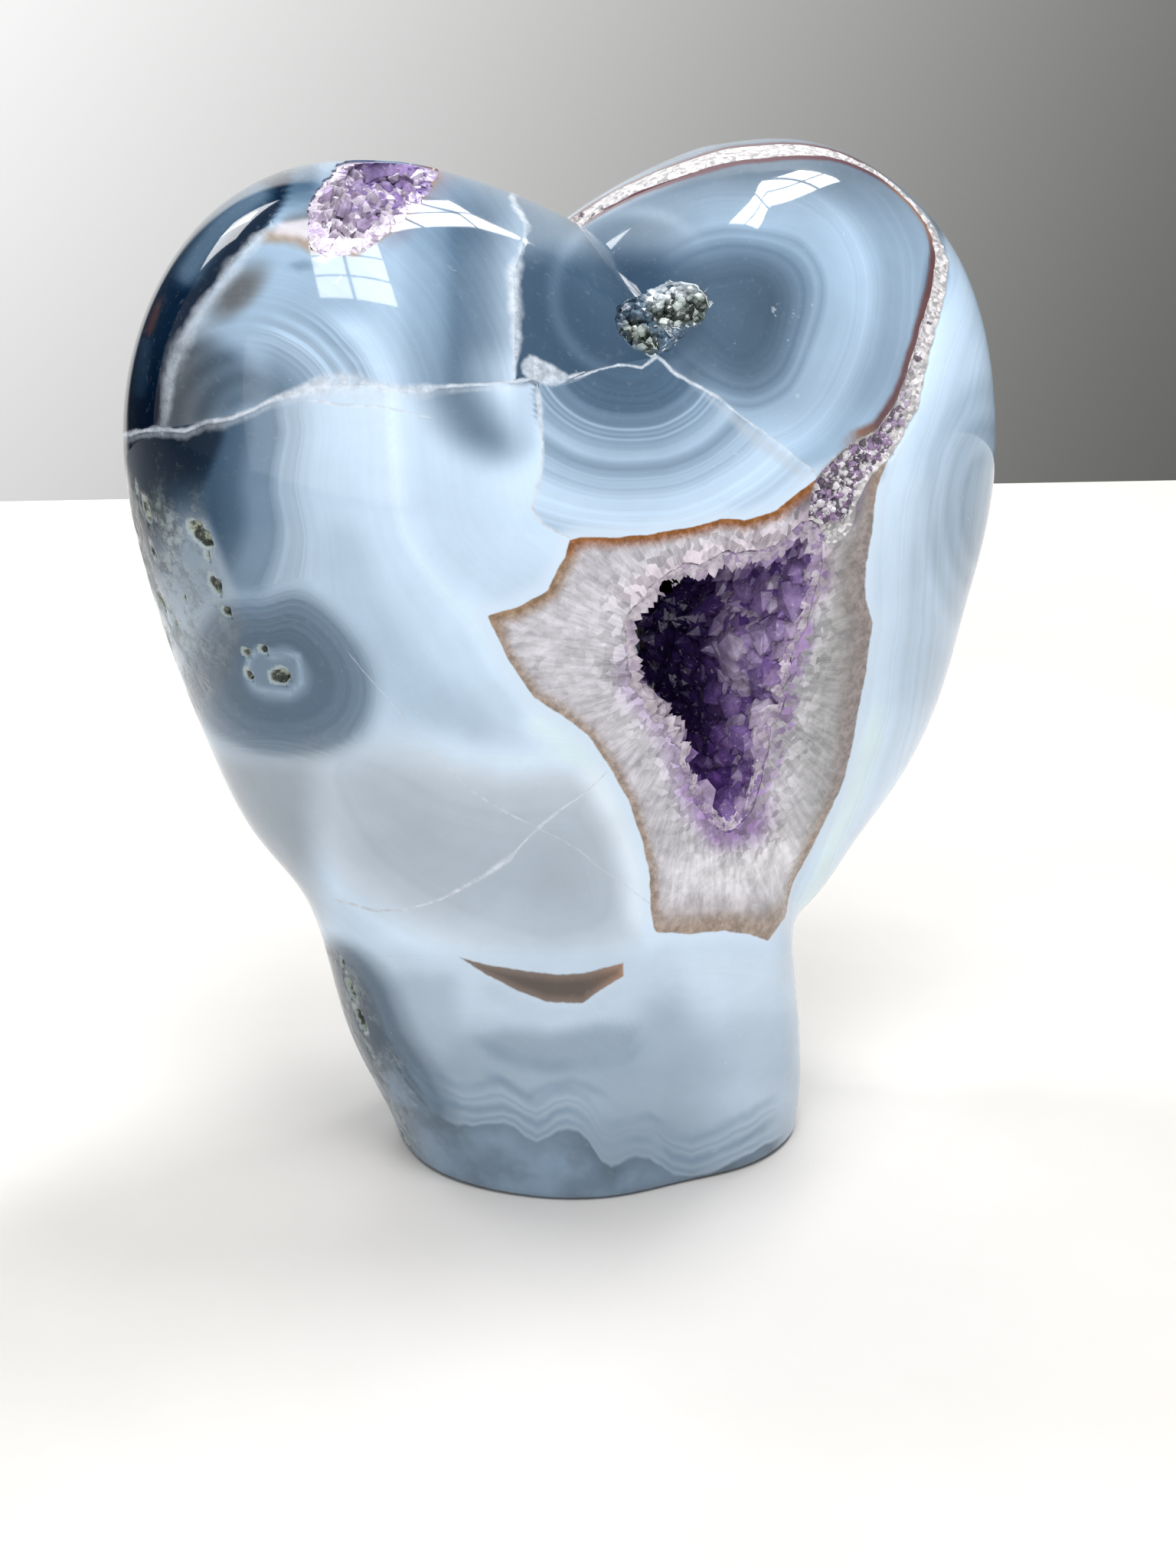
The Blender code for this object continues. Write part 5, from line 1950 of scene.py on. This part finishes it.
along_wall = add_node(
    tree, "VectorMath", {0: where, 1: (edge_way[0], edge_way[1], -0.30)}, operation="DOT_PRODUCT"
).outputs["Value"]
# Painted shade: near white on the left to dark grey on the right, and near black past the left
# part.
shade = ramp(tree, along_wall, -0.36, 0.36)
wall_colour = blend(tree, shade, (1.0, 1.0, 0.98, 1), (0.13, 0.13, 0.12, 1))
painted_dark_beyond = ramp(tree, along_wall, -0.60, -0.45, 1.0, 0.0)
tree.links.new(
    blend(tree, painted_dark_beyond, wall_colour, (0.02, 0.025, 0.03, 1)), shader.inputs["Base Color"]
)
shader.inputs["Roughness"].default_value = 0.9
wall.data.materials.append(plaster)


LIGHT_AIM = np.array([0.0, 0.0, 0.09])
GLASS_SHARE = 0.91


def facing(way, roll=0.0):
    """Three axes, across, up and out along a way, turned about it by a roll."""
    way = np.array(way) / np.linalg.norm(way)
    right = np.cross((0.0, 0.0, 1.0), way)
    right = right / np.linalg.norm(right)
    up = np.cross(way, right)
    first = right * math.cos(roll) + up * math.sin(roll)
    second = up * math.cos(roll) - right * math.sin(roll)
    return np.array([first, second, way])


def pane_light(name, place, axes, wide, high, power):
    """Rectangular light at a place, which shines back along its third axis."""
    data = bpy.data.lights.new(name, "AREA")
    data.shape = "RECTANGLE"
    data.size = wide
    data.size_y = high
    data.energy = power
    made = bpy.data.objects.new(name, data)
    bpy.context.scene.collection.objects.link(made)
    grid = np.eye(4)
    grid[:3, :3] = axes.T
    grid[:3, 3] = place
    made.matrix_world = Matrix(grid.tolist())


def window(name, way, distance, wide, high, columns, rows, power, roll=0.0):
    """Window of panes with thin bars between them, seen from the stone."""
    axes = facing(way, roll)
    middle = LIGHT_AIM + axes[2] * distance
    for i in range(columns):
        for j in range(rows):
            sideways = ((i + 0.5) / columns - 0.5) * wide
            upwards = ((j + 0.5) / rows - 0.5) * high
            pane_light(
                f"{name}_{i}_{j}",
                middle + axes[0] * sideways + axes[1] * upwards,
                axes,
                GLASS_SHARE * wide / columns,
                GLASS_SHARE * high / rows,
                power / columns / rows,
            )


window("front_window", (-0.12, -0.42, 0.88), 1.6, 0.62, 0.72, 2, 3, 14.5)
window("side_window", (0.47, 0.17, 0.85), 1.6, 0.36, 1.50, 2, 4, 28.0, math.radians(21))
window("back_window", (-0.36, 0.64, 0.70), 1.8, 0.22, 0.6, 1, 2, 4.0)
wash_place = np.array([*(edge_start - 0.45 * edge_way + 0.05 * edge_out), 0.75])
wash_aim = np.array([*(edge_start - 0.25 * edge_way + WALL_BEHIND * edge_out), 0.15])
pane_light("wall_wash", wash_place, facing(wash_place - wash_aim), 0.4, 0.4, 5.0)
soft_axes = facing((-0.75, -0.95, 0.40))
pane_light("soft_left", LIGHT_AIM + 1.8 * soft_axes[2], soft_axes, 1.6, 1.2, 7.0)

world = bpy.data.worlds.new("room")
bpy.context.scene.world = world
world.use_nodes = True
backdrop = world.node_tree.nodes["Background"]
backdrop.inputs["Color"].default_value = (0.93, 0.95, 0.98, 1)
backdrop.inputs["Strength"].default_value = 0.36
